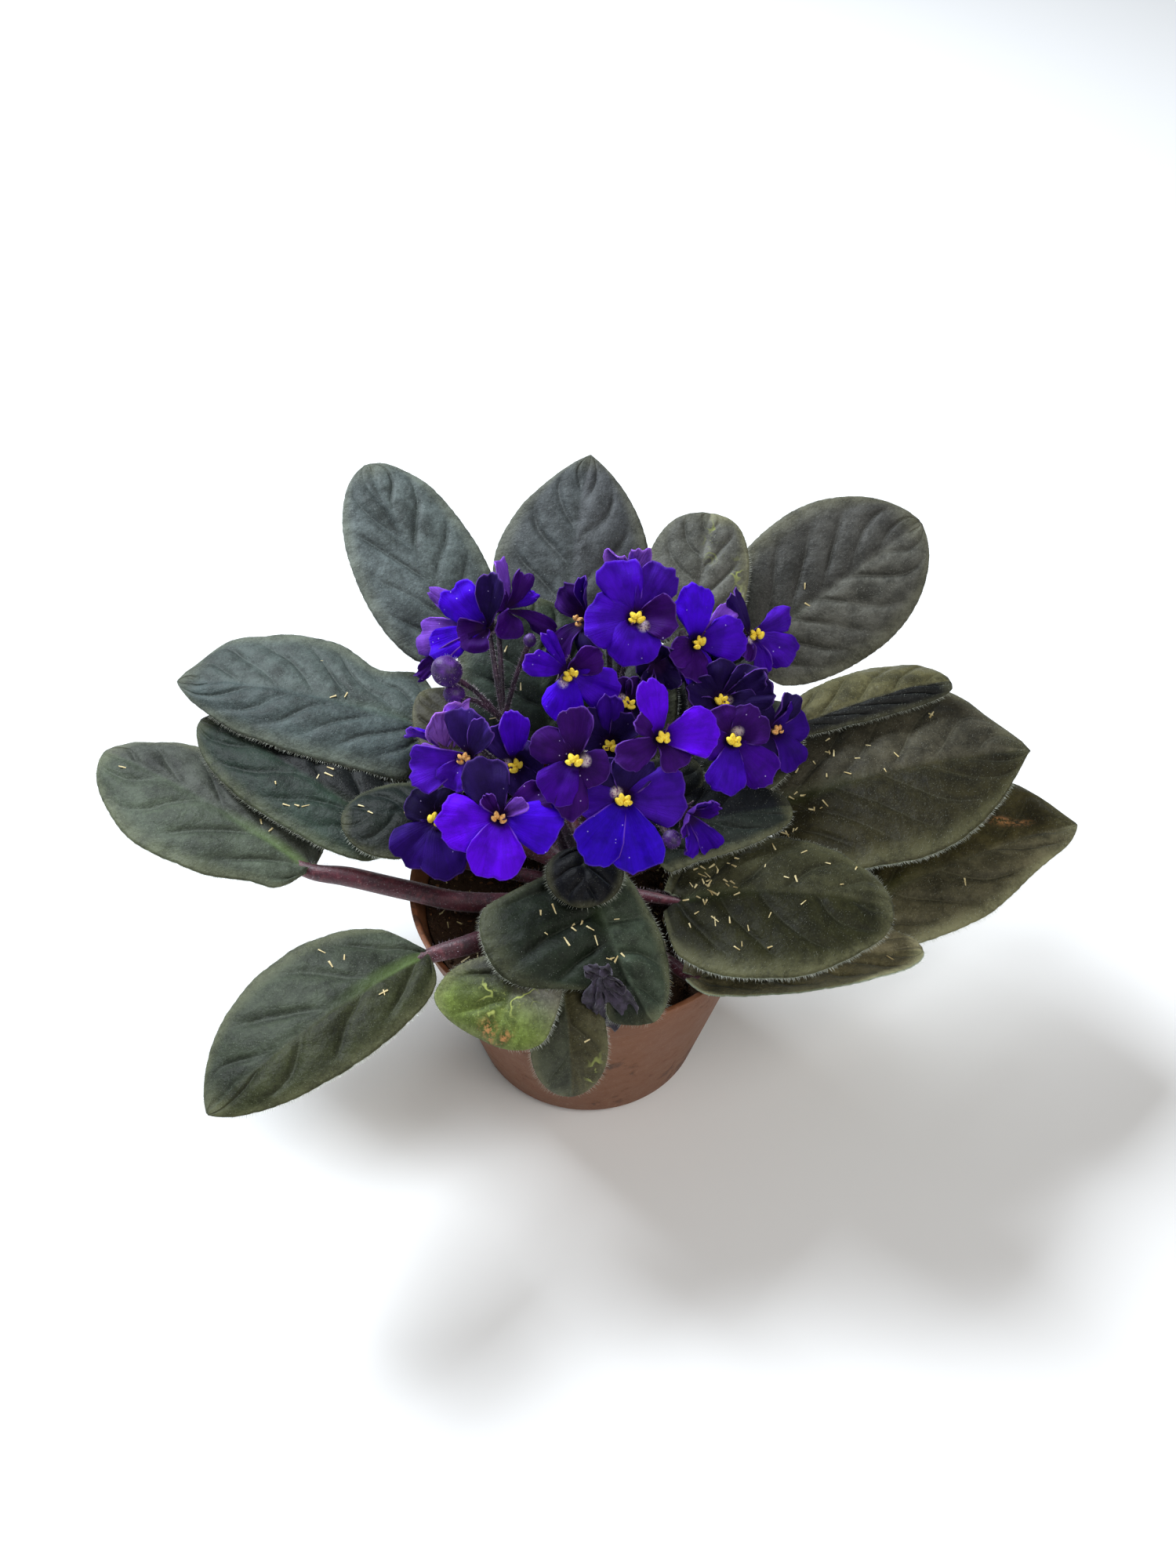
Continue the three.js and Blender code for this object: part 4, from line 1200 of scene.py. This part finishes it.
def makeStamens():
    form = antherForm
    draw = random.Random(5)
    lobe = modelAnther()
    for node, bloom in blooms.items():
        if not bloom["anthers"]:
            continue
        axes = bloomAxes(bloom)
        skin = dryAntherSkin if bloom["dry"] else antherSkin
        whole = standing(axes["at"], axes["right"], axes["up"], axes["facing"])
        whole = whole @ looseTurn(draw, form["wholeTurn"], "Z")
        parts = []
        for x, y, turn in form["lobes"]:
            size = draw.uniform(*form["size"]) * (form["drySize"] if bloom["dry"] else 1)
            shift = Vector((x + draw.uniform(-0.2, 0.2), y + draw.uniform(-0.2, 0.2),
                            form["height"] + draw.uniform(-0.3, 0.4))) * mm
            tip = looseTurn(draw, form["lobeTurn"], "Z", turn) @ looseTurn(draw, form["lobeTilt"], "X")
            part = copyOf(lobe, whole @ Matrix.Translation(shift) @ tip @ Matrix.Scale(size, 4))
            part.data.materials.append(skin)
            parts.append(part)
        foot, head = (inBloom(axes, 0, 0, antherForm[end]) for end in ("foot", "head"))
        parts.append(stem("filament", [foot, (foot + head) / 2, head], form["filament"], skin, 3, 2))
        x, y = bloom["style"] or (draw.uniform(-2, 2), draw.uniform(-2.4, 0.5))
        tip = inBloom(axes, x, y, form["styleEnd"][1 if bloom["style"] else 0])
        places = [foot, inBloom(axes, x * 0.45, y * 0.45 - 0.4, 2), tip]
        parts.append(stem("style", places, form["style"], styleSkin, 4, 1))
        piece = joinPieces("stamens_" + node, parts)
        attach(piece, "root")
        if "anthers_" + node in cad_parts:
            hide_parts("anthers_" + node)
    bpy.data.objects.remove(lobe)
    print("stamens ready")


makeStamens()


# Flower stalks with their side branches, sepals and buds. A bud is (x, y, z, radius).

stalkForm = {
    "peduncle": (1.7, 1.5, 1.4), "pedicel": (1, 0.85, 1.3), "budStalk": (1, 0.8, 1.1),
    "rootCircle": 5.6, "rootHeight": 98, "kneeRise": 3, "pedicelBend": -12, "budBend": 2,
    "calyxBack": 6.2, "calyxTop": -5.2, "sepals": 5, "sepalLength": 6.2, "sepalWidth": 1.25,
    "sepalThickness": 0.35, "budSepalTurn": 1.257,
    "sepalTurn": 8, "sepalLean": (0.72, 0.62), "budSepalLean": (0.5, 0.85),  # outward and forward
    "hairs": (0.4, 1.2), "hairWidth": 0.045,
    "sepalHairs": 14, "sepalHairLength": (0.8, 1.6), "budHairs": 9, "budHairLength": (0.4, 1),
    "peduncleDown": (1.6, 1.4, 14), "pedicelDown": (0.95, 0.95, 9),  # both radii, hairs to a millimetre
    "petioleDown": 7,
}
stalks = {
    "left": {"side": 130, "hub": (-28, 33, 124), "carries": ("left_high", "left_back"),
             "buds": ((-45, 31, 147, 5), (-43, 29, 139, 3.5), (-19, 45, 148, 2.2))},
    "front": {"side": 185, "hub": (-16, 4, 116), "buds": (),
              "carries": ("middle_left", "inner_left", "front_left", "low_left", "left_mid", "left_pale")},
    "middle": {"side": -10, "hub": (14, 4, 118), "buds": ((26, -15, 118, 3),),
               "carries": ("middle_right", "middle_back", "front_right", "half_open", "right_front")},
    "back": {"side": 85, "hub": (8, 30, 128), "buds": (),
             "carries": ("top", "back_mid", "behind_top", "back_pale")},
    "right": {"side": 40, "hub": (36, 22, 122), "buds": (),
              "carries": ("right_high", "right_small", "right_faded", "right_edge")},
}


def modelSepal():
    sepal = addGrid("sepal", 6, 10)
    for vertex in sepal.data.vertices:
        x, share = vertex.co.x, (vertex.co.y + 1) / 2
        taper = 0.55 + 0.6 * math.sin(math.pi * min(1, share * 1.15)) - 0.4 * share
        width = stalkForm["sepalWidth"] * taper * (1 - share ** 3)
        bend = 0.25 * math.sin(math.pi * share) + 0.35 * x * x
        vertex.co = Vector((x * width, share * stalkForm["sepalLength"], bend)) * mm
    sepal.data.materials.append(sepalSkin)
    thicken(sepal, stalkForm["sepalThickness"])
    return sepal


def modelBud():
    # petals folded over one another in a spiral
    bud = startWith(bpy.ops.mesh.primitive_uv_sphere_add, segments=40, ring_count=20, radius=1)
    for vertex in bud.data.vertices:
        x, y, z = vertex.co
        turn = math.atan2(y, x) + z * 0.9
        fold = 1 - 0.09 * abs(math.cos(turn * 1.5)) ** 8 * (1 - abs(z) ** 4)
        point = 1 + 0.12 * max(0, z) ** 3
        vertex.co = Vector((x * fold, y * fold, z * point))
    bud.data.materials.append(budSkin)
    smoothOver(bud)
    return bud


def stemHairs(places, first, last, perLength, draw, hairs):
    path = curvedPath(places, 6)
    for i in range(len(path) - 1):
        start, end = path[i], path[i + 1]
        along = (end - start).normalized()
        aside = along.orthogonal().normalized()
        radius = first + (last - first) * (i / (len(path) - 1))
        for _ in range(int((end - start).length * perLength + draw.random())):
            out = Matrix.Rotation(draw.uniform(0, 2 * math.pi), 3, along) @ aside
            root = start.lerp(end, draw.random()) + out * radius * 0.95
            lean = (out + along * draw.uniform(-0.4, 0.4)).normalized()
            hairs.append((root, root + lean * draw.uniform(*stalkForm["hairs"])))


def makeCalyx(axes, sepal, hairs, draw):
    foot = axes["at"] - axes["facing"] * stalkForm["calyxBack"]
    outward, forward = stalkForm["sepalLean"]
    loose = stalkForm["sepalTurn"]
    parts = []
    for i in range(stalkForm["sepals"]):
        turn = math.radians(i * 360 / stalkForm["sepals"] + draw.uniform(-loose, loose))
        out = axes["right"] * math.cos(turn) + axes["up"] * math.sin(turn)
        along = (out * outward + axes["facing"] * forward).normalized()
        side = along.cross(axes["facing"]).normalized()
        above = side.cross(along)
        parts.append(copyOf(sepal, standing(foot + out * 0.5, side, along, above)))
        for _ in range(stalkForm["sepalHairs"]):
            root = foot + along * draw.uniform(0.5, 6)
            lean = (side * draw.uniform(-1, 1) - above * draw.uniform(-1, 1)).normalized()
            hairs.append((root, root + lean * draw.uniform(*stalkForm["sepalHairLength"])))
    return parts


def makeBud(hub, place, radius, bud, sepal, hairs, draw):
    middle = Vector(place)
    along = (middle - hub).normalized()
    bend = (hub + middle) / 2 + upward * stalkForm["budBend"]
    places = [hub, bend, middle - along * radius * 0.8]
    parts = [stem("pedicel", places, stalkForm["budStalk"], stalkSkin, 6, 2)]
    stemHairs([hub, bend, middle - along * radius], *stalkForm["pedicelDown"], draw, hairs)
    outward, forward = stalkForm["budSepalLean"]
    aside = along.orthogonal().normalized()
    across = along.cross(aside)
    parts.append(copyOf(bud, standing(middle, aside, across, along) @ Matrix.Scale(radius * mm, 4)))
    for i in range(stalkForm["sepals"]):
        turn = i * stalkForm["budSepalTurn"]
        out = aside * math.cos(turn) + across * math.sin(turn)
        reach = (out * outward + along * forward).normalized()
        side = reach.cross(along).normalized()
        foot = middle - along * radius * 0.95 + out * radius * 0.3
        matrix = standing(foot, side, reach, side.cross(reach)) @ Matrix.Scale(radius / 5, 4)
        parts.append(copyOf(sepal, matrix))
    for _ in range(int(radius * radius * stalkForm["budHairs"])):
        out = Vector([draw.gauss(0, 1) for _ in range(3)]).normalized()
        tip = radius + draw.uniform(*stalkForm["budHairLength"])
        hairs.append((middle + out * radius * 0.93, middle + out * tip))
    return parts


def makeStalks():
    draw = random.Random(31)
    sepal, bud = modelSepal(), modelBud()
    hairs = []
    for node, stalk in stalks.items():
        turn = math.radians(stalk["side"])
        root = Vector((crownAt[0] + math.cos(turn) * stalkForm["rootCircle"],
                       crownAt[1] + math.sin(turn) * stalkForm["rootCircle"], stalkForm["rootHeight"]))
        hub = Vector(stalk["hub"])
        places = [root, (root + hub) / 2 + upward * stalkForm["kneeRise"], hub]
        parts = [stem("peduncle", places, stalkForm["peduncle"], stalkSkin, 6, 3)]
        stemHairs(places, *stalkForm["peduncleDown"], draw, hairs)
        for name in stalk["carries"]:
            axes = bloomAxes(blooms[name])
            places = [hub, *(inBloom(axes, 0, 0, stalkForm[end]) for end in ("pedicelBend", "calyxTop"))]
            parts.append(stem("pedicel", places, stalkForm["pedicel"], stalkSkin, 6, 2))
            stemHairs(places, *stalkForm["pedicelDown"], draw, hairs)
            parts += makeCalyx(axes, sepal, hairs, draw)
        for *place, radius in stalk["buds"]:
            parts += makeBud(hub, place, radius, bud, sepal, hairs, draw)
        piece = joinPieces("flowerStalk_" + node, parts)
        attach(piece, "root")
        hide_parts("stalk_" + node)
    for leaf in [*leaves.values(), *heartLeaves.values()]:
        start = bladePlace(leaf, bladeAxes(leaf), 0, 0)
        places = [(*crownAt, leaf["root"]), *leaf["via"], start - upward]
        stemHairs(places, *leaf["stalk"], stalkForm["petioleDown"], draw, hairs)
    spikes("stalkHairs", hairs, stalkForm["hairWidth"], stalkHair)
    bpy.data.objects.remove(sepal)
    bpy.data.objects.remove(bud)
    print("stalks ready, hairs:", len(hairs))


makeStalks()


# The pot

potForm = {"rimRadius": 60, "baseRadius": 39.5, "height": 82, "wall": 1.8, "floor": 2.5, "footBevel": 3,
           "bandDepth": 12, "bandStep": 0.8, "rounding": 0.55, "spinSteps": 128,
           "holes": 6, "holeRadius": 4, "holeCircle": 25, "drillLength": 10}
potFinish = {
    "roughness": 0.42, "relief": 0.12, "dirt": 0.7, "dust": 0.25,
    "clay": (paint(100, 57, 32), paint(130, 82, 48)),
    "bloom": paint(150, 110, 88),
    "lip": paint(150, 92, 60), "lipHeight": (0.079, 0.082),
    "scratch": paint(176, 142, 122),
    "dirtColour": paint(46, 34, 27), "dustColour": paint(70, 48, 38),
}


def wallRadius(height):
    top = potForm["rimRadius"] - potForm["bandStep"]
    return potForm["baseRadius"] + (top - potForm["baseRadius"]) * height / potForm["height"]


def makePotSkin():
    look = potFinish
    material, tree, shader = newMaterial("potClay", Specular_IOR_Level=0.4)
    place = ownPlace(tree)
    smudge = useGroup(tree, earthSmudges, Place=place, Amount=0.7)
    fine = grain(place, 1400, 3, 0.6)
    scratches = grain(stretched(place, 1, 1, 0.05), 900, 2, 0.6)
    colour = layered(
        mix(grain(place, 18, 3, 0.55), *look["clay"]),
        (fade(fine, 0.55, 0.75, 0, 0.25), look["bloom"]),
        (fade(separate(place)[2], *look["lipHeight"], 0, 0.2), look["lip"]),
        (fade(scratches, 0.62, 0.7, 0, 0.14), look["scratch"]),
        (times(smudge["Dirt"], look["dirt"]), look["dirtColour"]),
        (times(smudge["Dust"], look["dust"]), look["dustColour"]))
    feed(shader.inputs["Roughness"], plus(look["roughness"], times(smudge["Dust"], 0.6)))
    finishSkin(shader, colour, plus(fine, times(smudge["Dirt"], 1.5)), look["relief"])
    return material


def makePot():
    form = potForm
    wall, step, height = form["wall"], form["bandStep"], form["height"]
    bandFoot = height - form["bandDepth"]
    profile = [
        (0, 0), (form["baseRadius"] - form["footBevel"], 0),
        (wallRadius(form["footBevel"]), form["footBevel"]),
        (wallRadius(bandFoot), bandFoot), (wallRadius(bandFoot) + step, bandFoot + step),
        (form["rimRadius"], height), (form["rimRadius"] - wall, height),
        (wallRadius(bandFoot) - wall, bandFoot),
        (wallRadius(form["floor"]) - wall, form["floor"]), (0, form["floor"]),
    ]
    mesh = bpy.data.meshes.new("potProfile")
    edges = [(i, i + 1) for i in range(len(profile) - 1)]
    mesh.from_pydata([(r * mm, 0, z * mm) for r, z in profile], edges, [])
    pot = addToScene("clayPot", mesh)
    pick(pot)
    bpy.ops.object.mode_set(mode="EDIT")
    bpy.ops.mesh.select_all(action="SELECT")
    bpy.ops.mesh.spin(steps=form["spinSteps"], angle=2 * math.pi, center=(0, 0, 0), axis=(0, 0, 1))
    bpy.ops.mesh.select_all(action="SELECT")
    bpy.ops.mesh.remove_doubles(threshold=1e-6)
    bpy.ops.mesh.normals_make_consistent(inside=False)
    bpy.ops.object.mode_set(mode="OBJECT")
    soft = pot.modifiers.new("edges", "BEVEL")
    soft.width = form["rounding"] * mm
    soft.segments = 3
    soft.limit_method = "ANGLE"
    soft.angle_limit = math.radians(25)
    applyAll(pot)
    for i in range(form["holes"]):
        turn = 2 * math.pi * i / form["holes"]
        place = (math.cos(turn) * form["holeCircle"] * mm, math.sin(turn) * form["holeCircle"] * mm, 0)
        drill = startWith(bpy.ops.mesh.primitive_cylinder_add, vertices=32, radius=form["holeRadius"] * mm,
                          depth=form["drillLength"] * mm, location=place)
        cut = pot.modifiers.new("hole", "BOOLEAN")
        cut.object = drill
        cut.solver = "EXACT"
        applyAll(pot)
        bpy.data.objects.remove(drill)
    pick(pot)
    bpy.ops.object.shade_smooth_by_angle(angle=math.radians(35))
    pot.data.materials.clear()
    pot.data.materials.append(makePotSkin())
    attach(pot, "root")
    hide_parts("pot")
    print("pot ready")


makePot()


# Soil with crumbs and bark

soilForm = {
    "top": 74, "sunk": 0.8, "heap": 2.5, "clearance": 0.7, "bottomGap": 0.4, "cells": 90, "lumps": 1.4,
    "crumbs": 1100, "crumbSize": (0.4, 1.5),
    "flakes": 420, "flakeSizes": ((0.8, 2.4), (0.4, 1.1), (0.12, 0.3)),
    "edgeGap": 1.2, "fleck": paint(176, 150, 112),
}


def makeSoilSkin(name, dark, light, fleckShare):
    material, tree, shader = newMaterial(name, Roughness=0.95, Specular_IOR_Level=0.2)
    place = ownPlace(tree)
    lumps = grain(place, 420, 5, 0.7)
    flecks = grain(place, 1500, 2, 0.6)
    colour = mix(fade(flecks, 0.66, 0.74, 0, fleckShare),
                 mix(lumps, paint(*dark), paint(*light)), soilForm["fleck"])
    finishSkin(shader, colour, plus(lumps, flecks), 0.7)
    return material


def soilHeight(x, y):
    reach = math.hypot(x, y) / (wallRadius(soilForm["top"]) - potForm["wall"])
    mound = soilForm["heap"] * (1 - softStep(0.3, 1.0, reach))
    place = Vector((x, y, 0))
    lumps = noise.noise(place * 0.16) * soilForm["lumps"] + noise.noise(place * 0.6) * 0.7
    lumps += noise.noise(place * 1.5) * 0.35
    return soilForm["top"] - soilForm["sunk"] + mound + lumps * 0.8


def soilReach(height):
    return wallRadius(height) - potForm["wall"] - soilForm["clearance"]


def scatterCopies(name, template, matrices, material):
    # one merged piece from a small shape that is modelled once
    points = np.array([v.co for v in template.data.vertices])
    faces = [tuple(p.vertices) for p in template.data.polygons]
    allPoints, allFaces = [], []
    for i, matrix in enumerate(matrices):
        block = np.array(matrix)
        allPoints.append(points @ block[:3, :3].T + block[:3, 3])
        allFaces += [tuple(corner + i * len(points) for corner in face) for face in faces]
    meshPiece(name, np.concatenate(allPoints).tolist(), allFaces, material)


def somewhereOnSoil(draw):
    reach = math.sqrt(draw.uniform(0.02, 1)) * (soilReach(soilForm["top"]) - soilForm["edgeGap"])
    turn = draw.uniform(0, 2 * math.pi)
    x, y = math.cos(turn) * reach, math.sin(turn) * reach
    return Vector((x, y, soilHeight(x, y)))


def tumbled(draw, place, size):
    turn = Matrix.Rotation(draw.uniform(0, roughTurn), 4, "Z")
    turn = turn @ Matrix.Rotation(draw.uniform(0, roughTurn), 4, "X")
    return Matrix.Translation(place * mm) @ turn @ Matrix.Diagonal((*[s * mm for s in size], 1))


def makeSoil(draw):
    outer = soilReach(soilForm["top"])
    soil = addGrid("pottingSoil", soilForm["cells"], soilForm["cells"])
    for vertex in soil.data.vertices:
        x, y = vertex.co.x, vertex.co.y
        x, y = x * math.sqrt(1 - y * y / 2) * outer, y * math.sqrt(1 - x * x / 2) * outer
        vertex.co = Vector((x, y, soilHeight(x, y))) * mm
    pick(soil)
    bpy.ops.object.mode_set(mode="EDIT")
    bpy.ops.mesh.select_all(action="SELECT")
    bpy.ops.mesh.region_to_loop()
    bpy.ops.mesh.extrude_edges_move()
    bpy.ops.object.mode_set(mode="OBJECT")
    bottom = potForm["floor"] + soilForm["bottomGap"]
    lower = soilReach(bottom)
    for vertex in soil.data.vertices:
        if vertex.select:
            flat = Vector((vertex.co.x, vertex.co.y)).normalized() * lower * mm
            vertex.co = (flat.x, flat.y, bottom * mm)
    bpy.ops.object.mode_set(mode="EDIT")
    bpy.ops.mesh.edge_face_add()
    bpy.ops.mesh.select_all(action="SELECT")
    bpy.ops.mesh.normals_make_consistent(inside=False)
    bpy.ops.object.mode_set(mode="OBJECT")
    smoothOver(soil)
    soil.data.materials.append(makeSoilSkin("soilSkin", (34, 24, 18), (84, 62, 46), 0.9))
    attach(soil, "root")
    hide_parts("soil")

    crumb = startWith(bpy.ops.mesh.primitive_ico_sphere_add, subdivisions=1, radius=1)
    for vertex in crumb.data.vertices:
        vertex.co *= draw.uniform(0.7, 1.15)
    for name, count, sizes, skin in (
            ("soilCrumbs", soilForm["crumbs"], [soilForm["crumbSize"]] * 3,
             ("crumbSkin", (34, 25, 18), (88, 64, 46), 0.6)),
            ("barkFlakes", soilForm["flakes"], soilForm["flakeSizes"],
             ("barkSkin", (98, 66, 42), (148, 108, 74), 0.3))):
        matrices = [tumbled(draw, somewhereOnSoil(draw), [draw.uniform(*size) for size in sizes])
                    for _ in range(count)]
        scatterCopies(name, crumb, matrices, makeSoilSkin(*skin))
    bpy.data.objects.remove(crumb)
    print("soil ready")


soilDraw = random.Random(47)
makeSoil(soilDraw)


# Straw chaff that lies on the leaves and the soil: (across, share, spread in mm, how many)

chaffForm = {"length": (1.5, 3.6), "width": (0.2, 0.42), "flat": 0.5, "tilt": (-0.15, 0.25), "onSoil": 120}
chaffFinish = {"surface": {"Roughness": 0.6}, "grain": (260, 3, 0.6), "fade": (0.35, 0.65)}
chaffOnLeaves = {
    "right_upper": ((-0.55, 0.7, 1, 3), (-0.35, 0.5, 5, 3), (-0.2, 0.3, 7, 9), (0.1, 0.15, 6, 10),
        (0.5, 0.03, 3, 5)),
    "front_right": ((-0.1, 0.15, 6, 20), (-0.5, 0.3, 6, 14), (-0.3, 0.6, 9, 8), (0.4, 0.3, 8, 9)),
    "front": ((0.35, 0.25, 6, 9), (0.1, 0.5, 8, 6)),
    "left_middle": ((-0.2, 0.35, 9, 7),),
    "left_young": ((0, 0.5, 7, 10),),
    "front_left": ((0.57, 0.27, 4, 3), (-0.2, 0.2, 4, 2)),
    "back_right": ((0, 0.4, 8, 2),),
    "left_upper": ((0.2, 0.35, 8, 3),),
    "left_far": ((0, 0.2, 5, 2), (-0.3, 0.85, 2, 1)),
    "right_lower": ((0.3, 0.4, 8, 2),),
    "front_right_low": ((0.3, 0.8, 5, 2),),
    "front_hanging": ((-0.6, 0.5, 1, 1),),
}
chaffOnHeart = {
    "back": ((-0.3, 0.35, 8, 9), (0.2, 0.8, 6, 5)),
    "left": ((0.2, 0.4, 6, 4),),
}


def modelSplinter():
    splinter = startWith(bpy.ops.mesh.primitive_cube_add, size=2)
    for vertex in splinter.data.vertices:
        x, y, z = vertex.co
        narrow = 0.45 if x > 0 else 0.8
        vertex.co = Vector((x, y * narrow + 0.3 * x, z * narrow))
    return splinter


def lieOn(draw, place, up):
    along = up.orthogonal().normalized()
    along.rotate(Matrix.Rotation(draw.uniform(0, roughTurn), 3, up))
    along = (along + up * draw.uniform(*chaffForm["tilt"])).normalized()
    side = up.cross(along).normalized()
    length, width = draw.uniform(*chaffForm["length"]) / 2, draw.uniform(*chaffForm["width"])
    size = Matrix.Diagonal((length * mm, width * mm, width * chaffForm["flat"] * mm, 1))
    return standing(place + up * width * 0.6, along, side, along.cross(side)) @ size


def makeChaff():
    draw = random.Random(71)
    splinter = modelSplinter()
    matrices = []
    for group, clusters in ((leaves, chaffOnLeaves), (heartLeaves, chaffOnHeart)):
        for name, heaps in clusters.items():
            leaf = group[name]
            axes = bladeAxes(leaf)
            for across, share, spread, count in heaps:
                half = leaf["half"][sideOf(across)]
                for _ in range(count):
                    a = max(-0.95, min(0.95, across + draw.gauss(0, spread) / half))
                    s = max(0.02, min(0.96, share + draw.gauss(0, spread) / axes["length"]))
                    place = bladeSurface(leaf, axes, a, s, leafForm["thickness"] / 2)
                    matrices.append(lieOn(draw, place, axes["up"]))
    for _ in range(chaffForm["onSoil"]):
        matrices.append(lieOn(draw, somewhereOnSoil(soilDraw) + upward * 0.3, upward))
    skin = makePlainSkin("strawSkin", chaffFinish, (184, 164, 112), (232, 218, 168))
    scatterCopies("strawChaff", splinter, matrices, skin)
    bpy.data.objects.remove(splinter)
    print("chaff ready:", len(matrices))


makeChaff()


# A dried, crumpled flower that has dropped on the front leaf. A petal is (direction, length, half angle).

driedForm = {
    "at": (4, -53.2, 99.2), "rise": (0, 0.45, 0.89), "out": (0, -0.89, 0.45),
    "petals": ((-103, 14, 0.46), (-78, 20, 0.36), (-56, 19, 0.4), (-34, 9, 0.5), (150, 6, 0.8), (60, 5, 0.8)),
    "crumple": 2.2, "thickness": 0.35,
}
driedFinish = {
    "surface": {"Roughness": 0.8, "Sheen_Weight": 0.2},
    "grain": (420, 4, 0.65), "fade": (0.35, 0.65), "relief": 0.5,
}


def makeDriedFlower():
    skin = makePlainSkin("driedPetal", driedFinish, (24, 18, 32), (58, 49, 70))
    at, rise, out = (Vector(driedForm[key]) for key in ("at", "rise", "out"))
    parts = []
    for i, (direction, length, half) in enumerate(driedForm["petals"]):
        sheet = addGrid("driedPetal", 16, 18)
        seed = Vector((i * 9.1, 2, 5))
        for vertex in sheet.data.vertices:
            x, share = vertex.co.x, (vertex.co.y + 1) / 2
            ragged = 1 - 0.35 * abs(x) + 0.12 * noise.noise(Vector((x * 4, 7, 0)) + seed)
            reach = share * length * ragged
            angle = math.radians(direction) + x * half * (1.5 - 0.6 * share)
            crumple = noise.noise(Vector((x * 1.9, share * 2.6, 0)) + seed)
            lift = driedForm["crumple"] * crumple * (0.4 + share)
            lift += 0.7 * math.sin(x * 6 + i) * share + 0.4 * i
            place = at + rise * math.sin(angle) * reach + out * lift
            place.x += math.cos(angle) * reach + 1.2 * noise.noise(Vector((x * 2.1, share * 3, 4)) + seed)
            vertex.co = place * mm
        sheet.data.materials.append(skin)
        thicken(sheet, driedForm["thickness"])
        parts.append(sheet)
    piece = joinPieces("driedFlower", parts)
    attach(piece, "root")


makeDriedFlower()


# Floor, lights and camera. Places are in metres.

studio = {
    "floor": 6, "floorColour": (0.92, 0.92, 0.92, 1),
    "sky": (0.95, 0.97, 1, 1), "skyStrength": 0.2,
    "aim": (0, 0, 0.1),
    "camera": (0, -0.328, 0.461), "pitch": 44.5, "lens": 34.2, "sensor": 36,
}
studioLights = {
    "window": {"place": (-0.75, 0.75, 1.2), "size": 0.6, "power": 38, "colour": (0.88, 0.94, 1)},
    "fill": {"place": (0.6, -0.8, 1.3), "size": 1, "power": 13, "colour": (1, 0.97, 0.93)},
}


def makeStudio():
    floor = startWith(bpy.ops.mesh.primitive_plane_add, size=studio["floor"])
    floor.name = "studioFloor"
    material, _, shader = newMaterial("floorPaint", Roughness=0.9, Specular_IOR_Level=0.1)
    finishSkin(shader, studio["floorColour"])
    floor.data.materials.append(material)
    for name, light in studioLights.items():
        lamp = bpy.data.lights.new(name, "AREA")
        lamp.size = light["size"]
        lamp.energy = light["power"]
        lamp.color = light["colour"]
        piece = addToScene(name, lamp)
        piece.location = light["place"]
        piece.rotation_euler = (Vector(studio["aim"]) - piece.location).to_track_quat("-Z", "Y").to_euler()
    world = bpy.data.worlds.new("studio")
    bpy.context.scene.world = world
    world.use_nodes = True
    sky = world.node_tree.nodes["Background"]
    sky.inputs["Color"].default_value = studio["sky"]
    sky.inputs["Strength"].default_value = studio["skyStrength"]
    camera = addToScene("photoView", bpy.data.cameras.new("photoView"))
    camera.location = studio["camera"]
    camera.rotation_euler = (math.radians(studio["pitch"]), 0, 0)
    camera.data.lens = studio["lens"]
    camera.data.sensor_width = studio["sensor"]
    bpy.context.scene.camera = camera
    bpy.context.scene.view_settings.view_transform = "Standard"
    print("studio ready")


makeStudio()
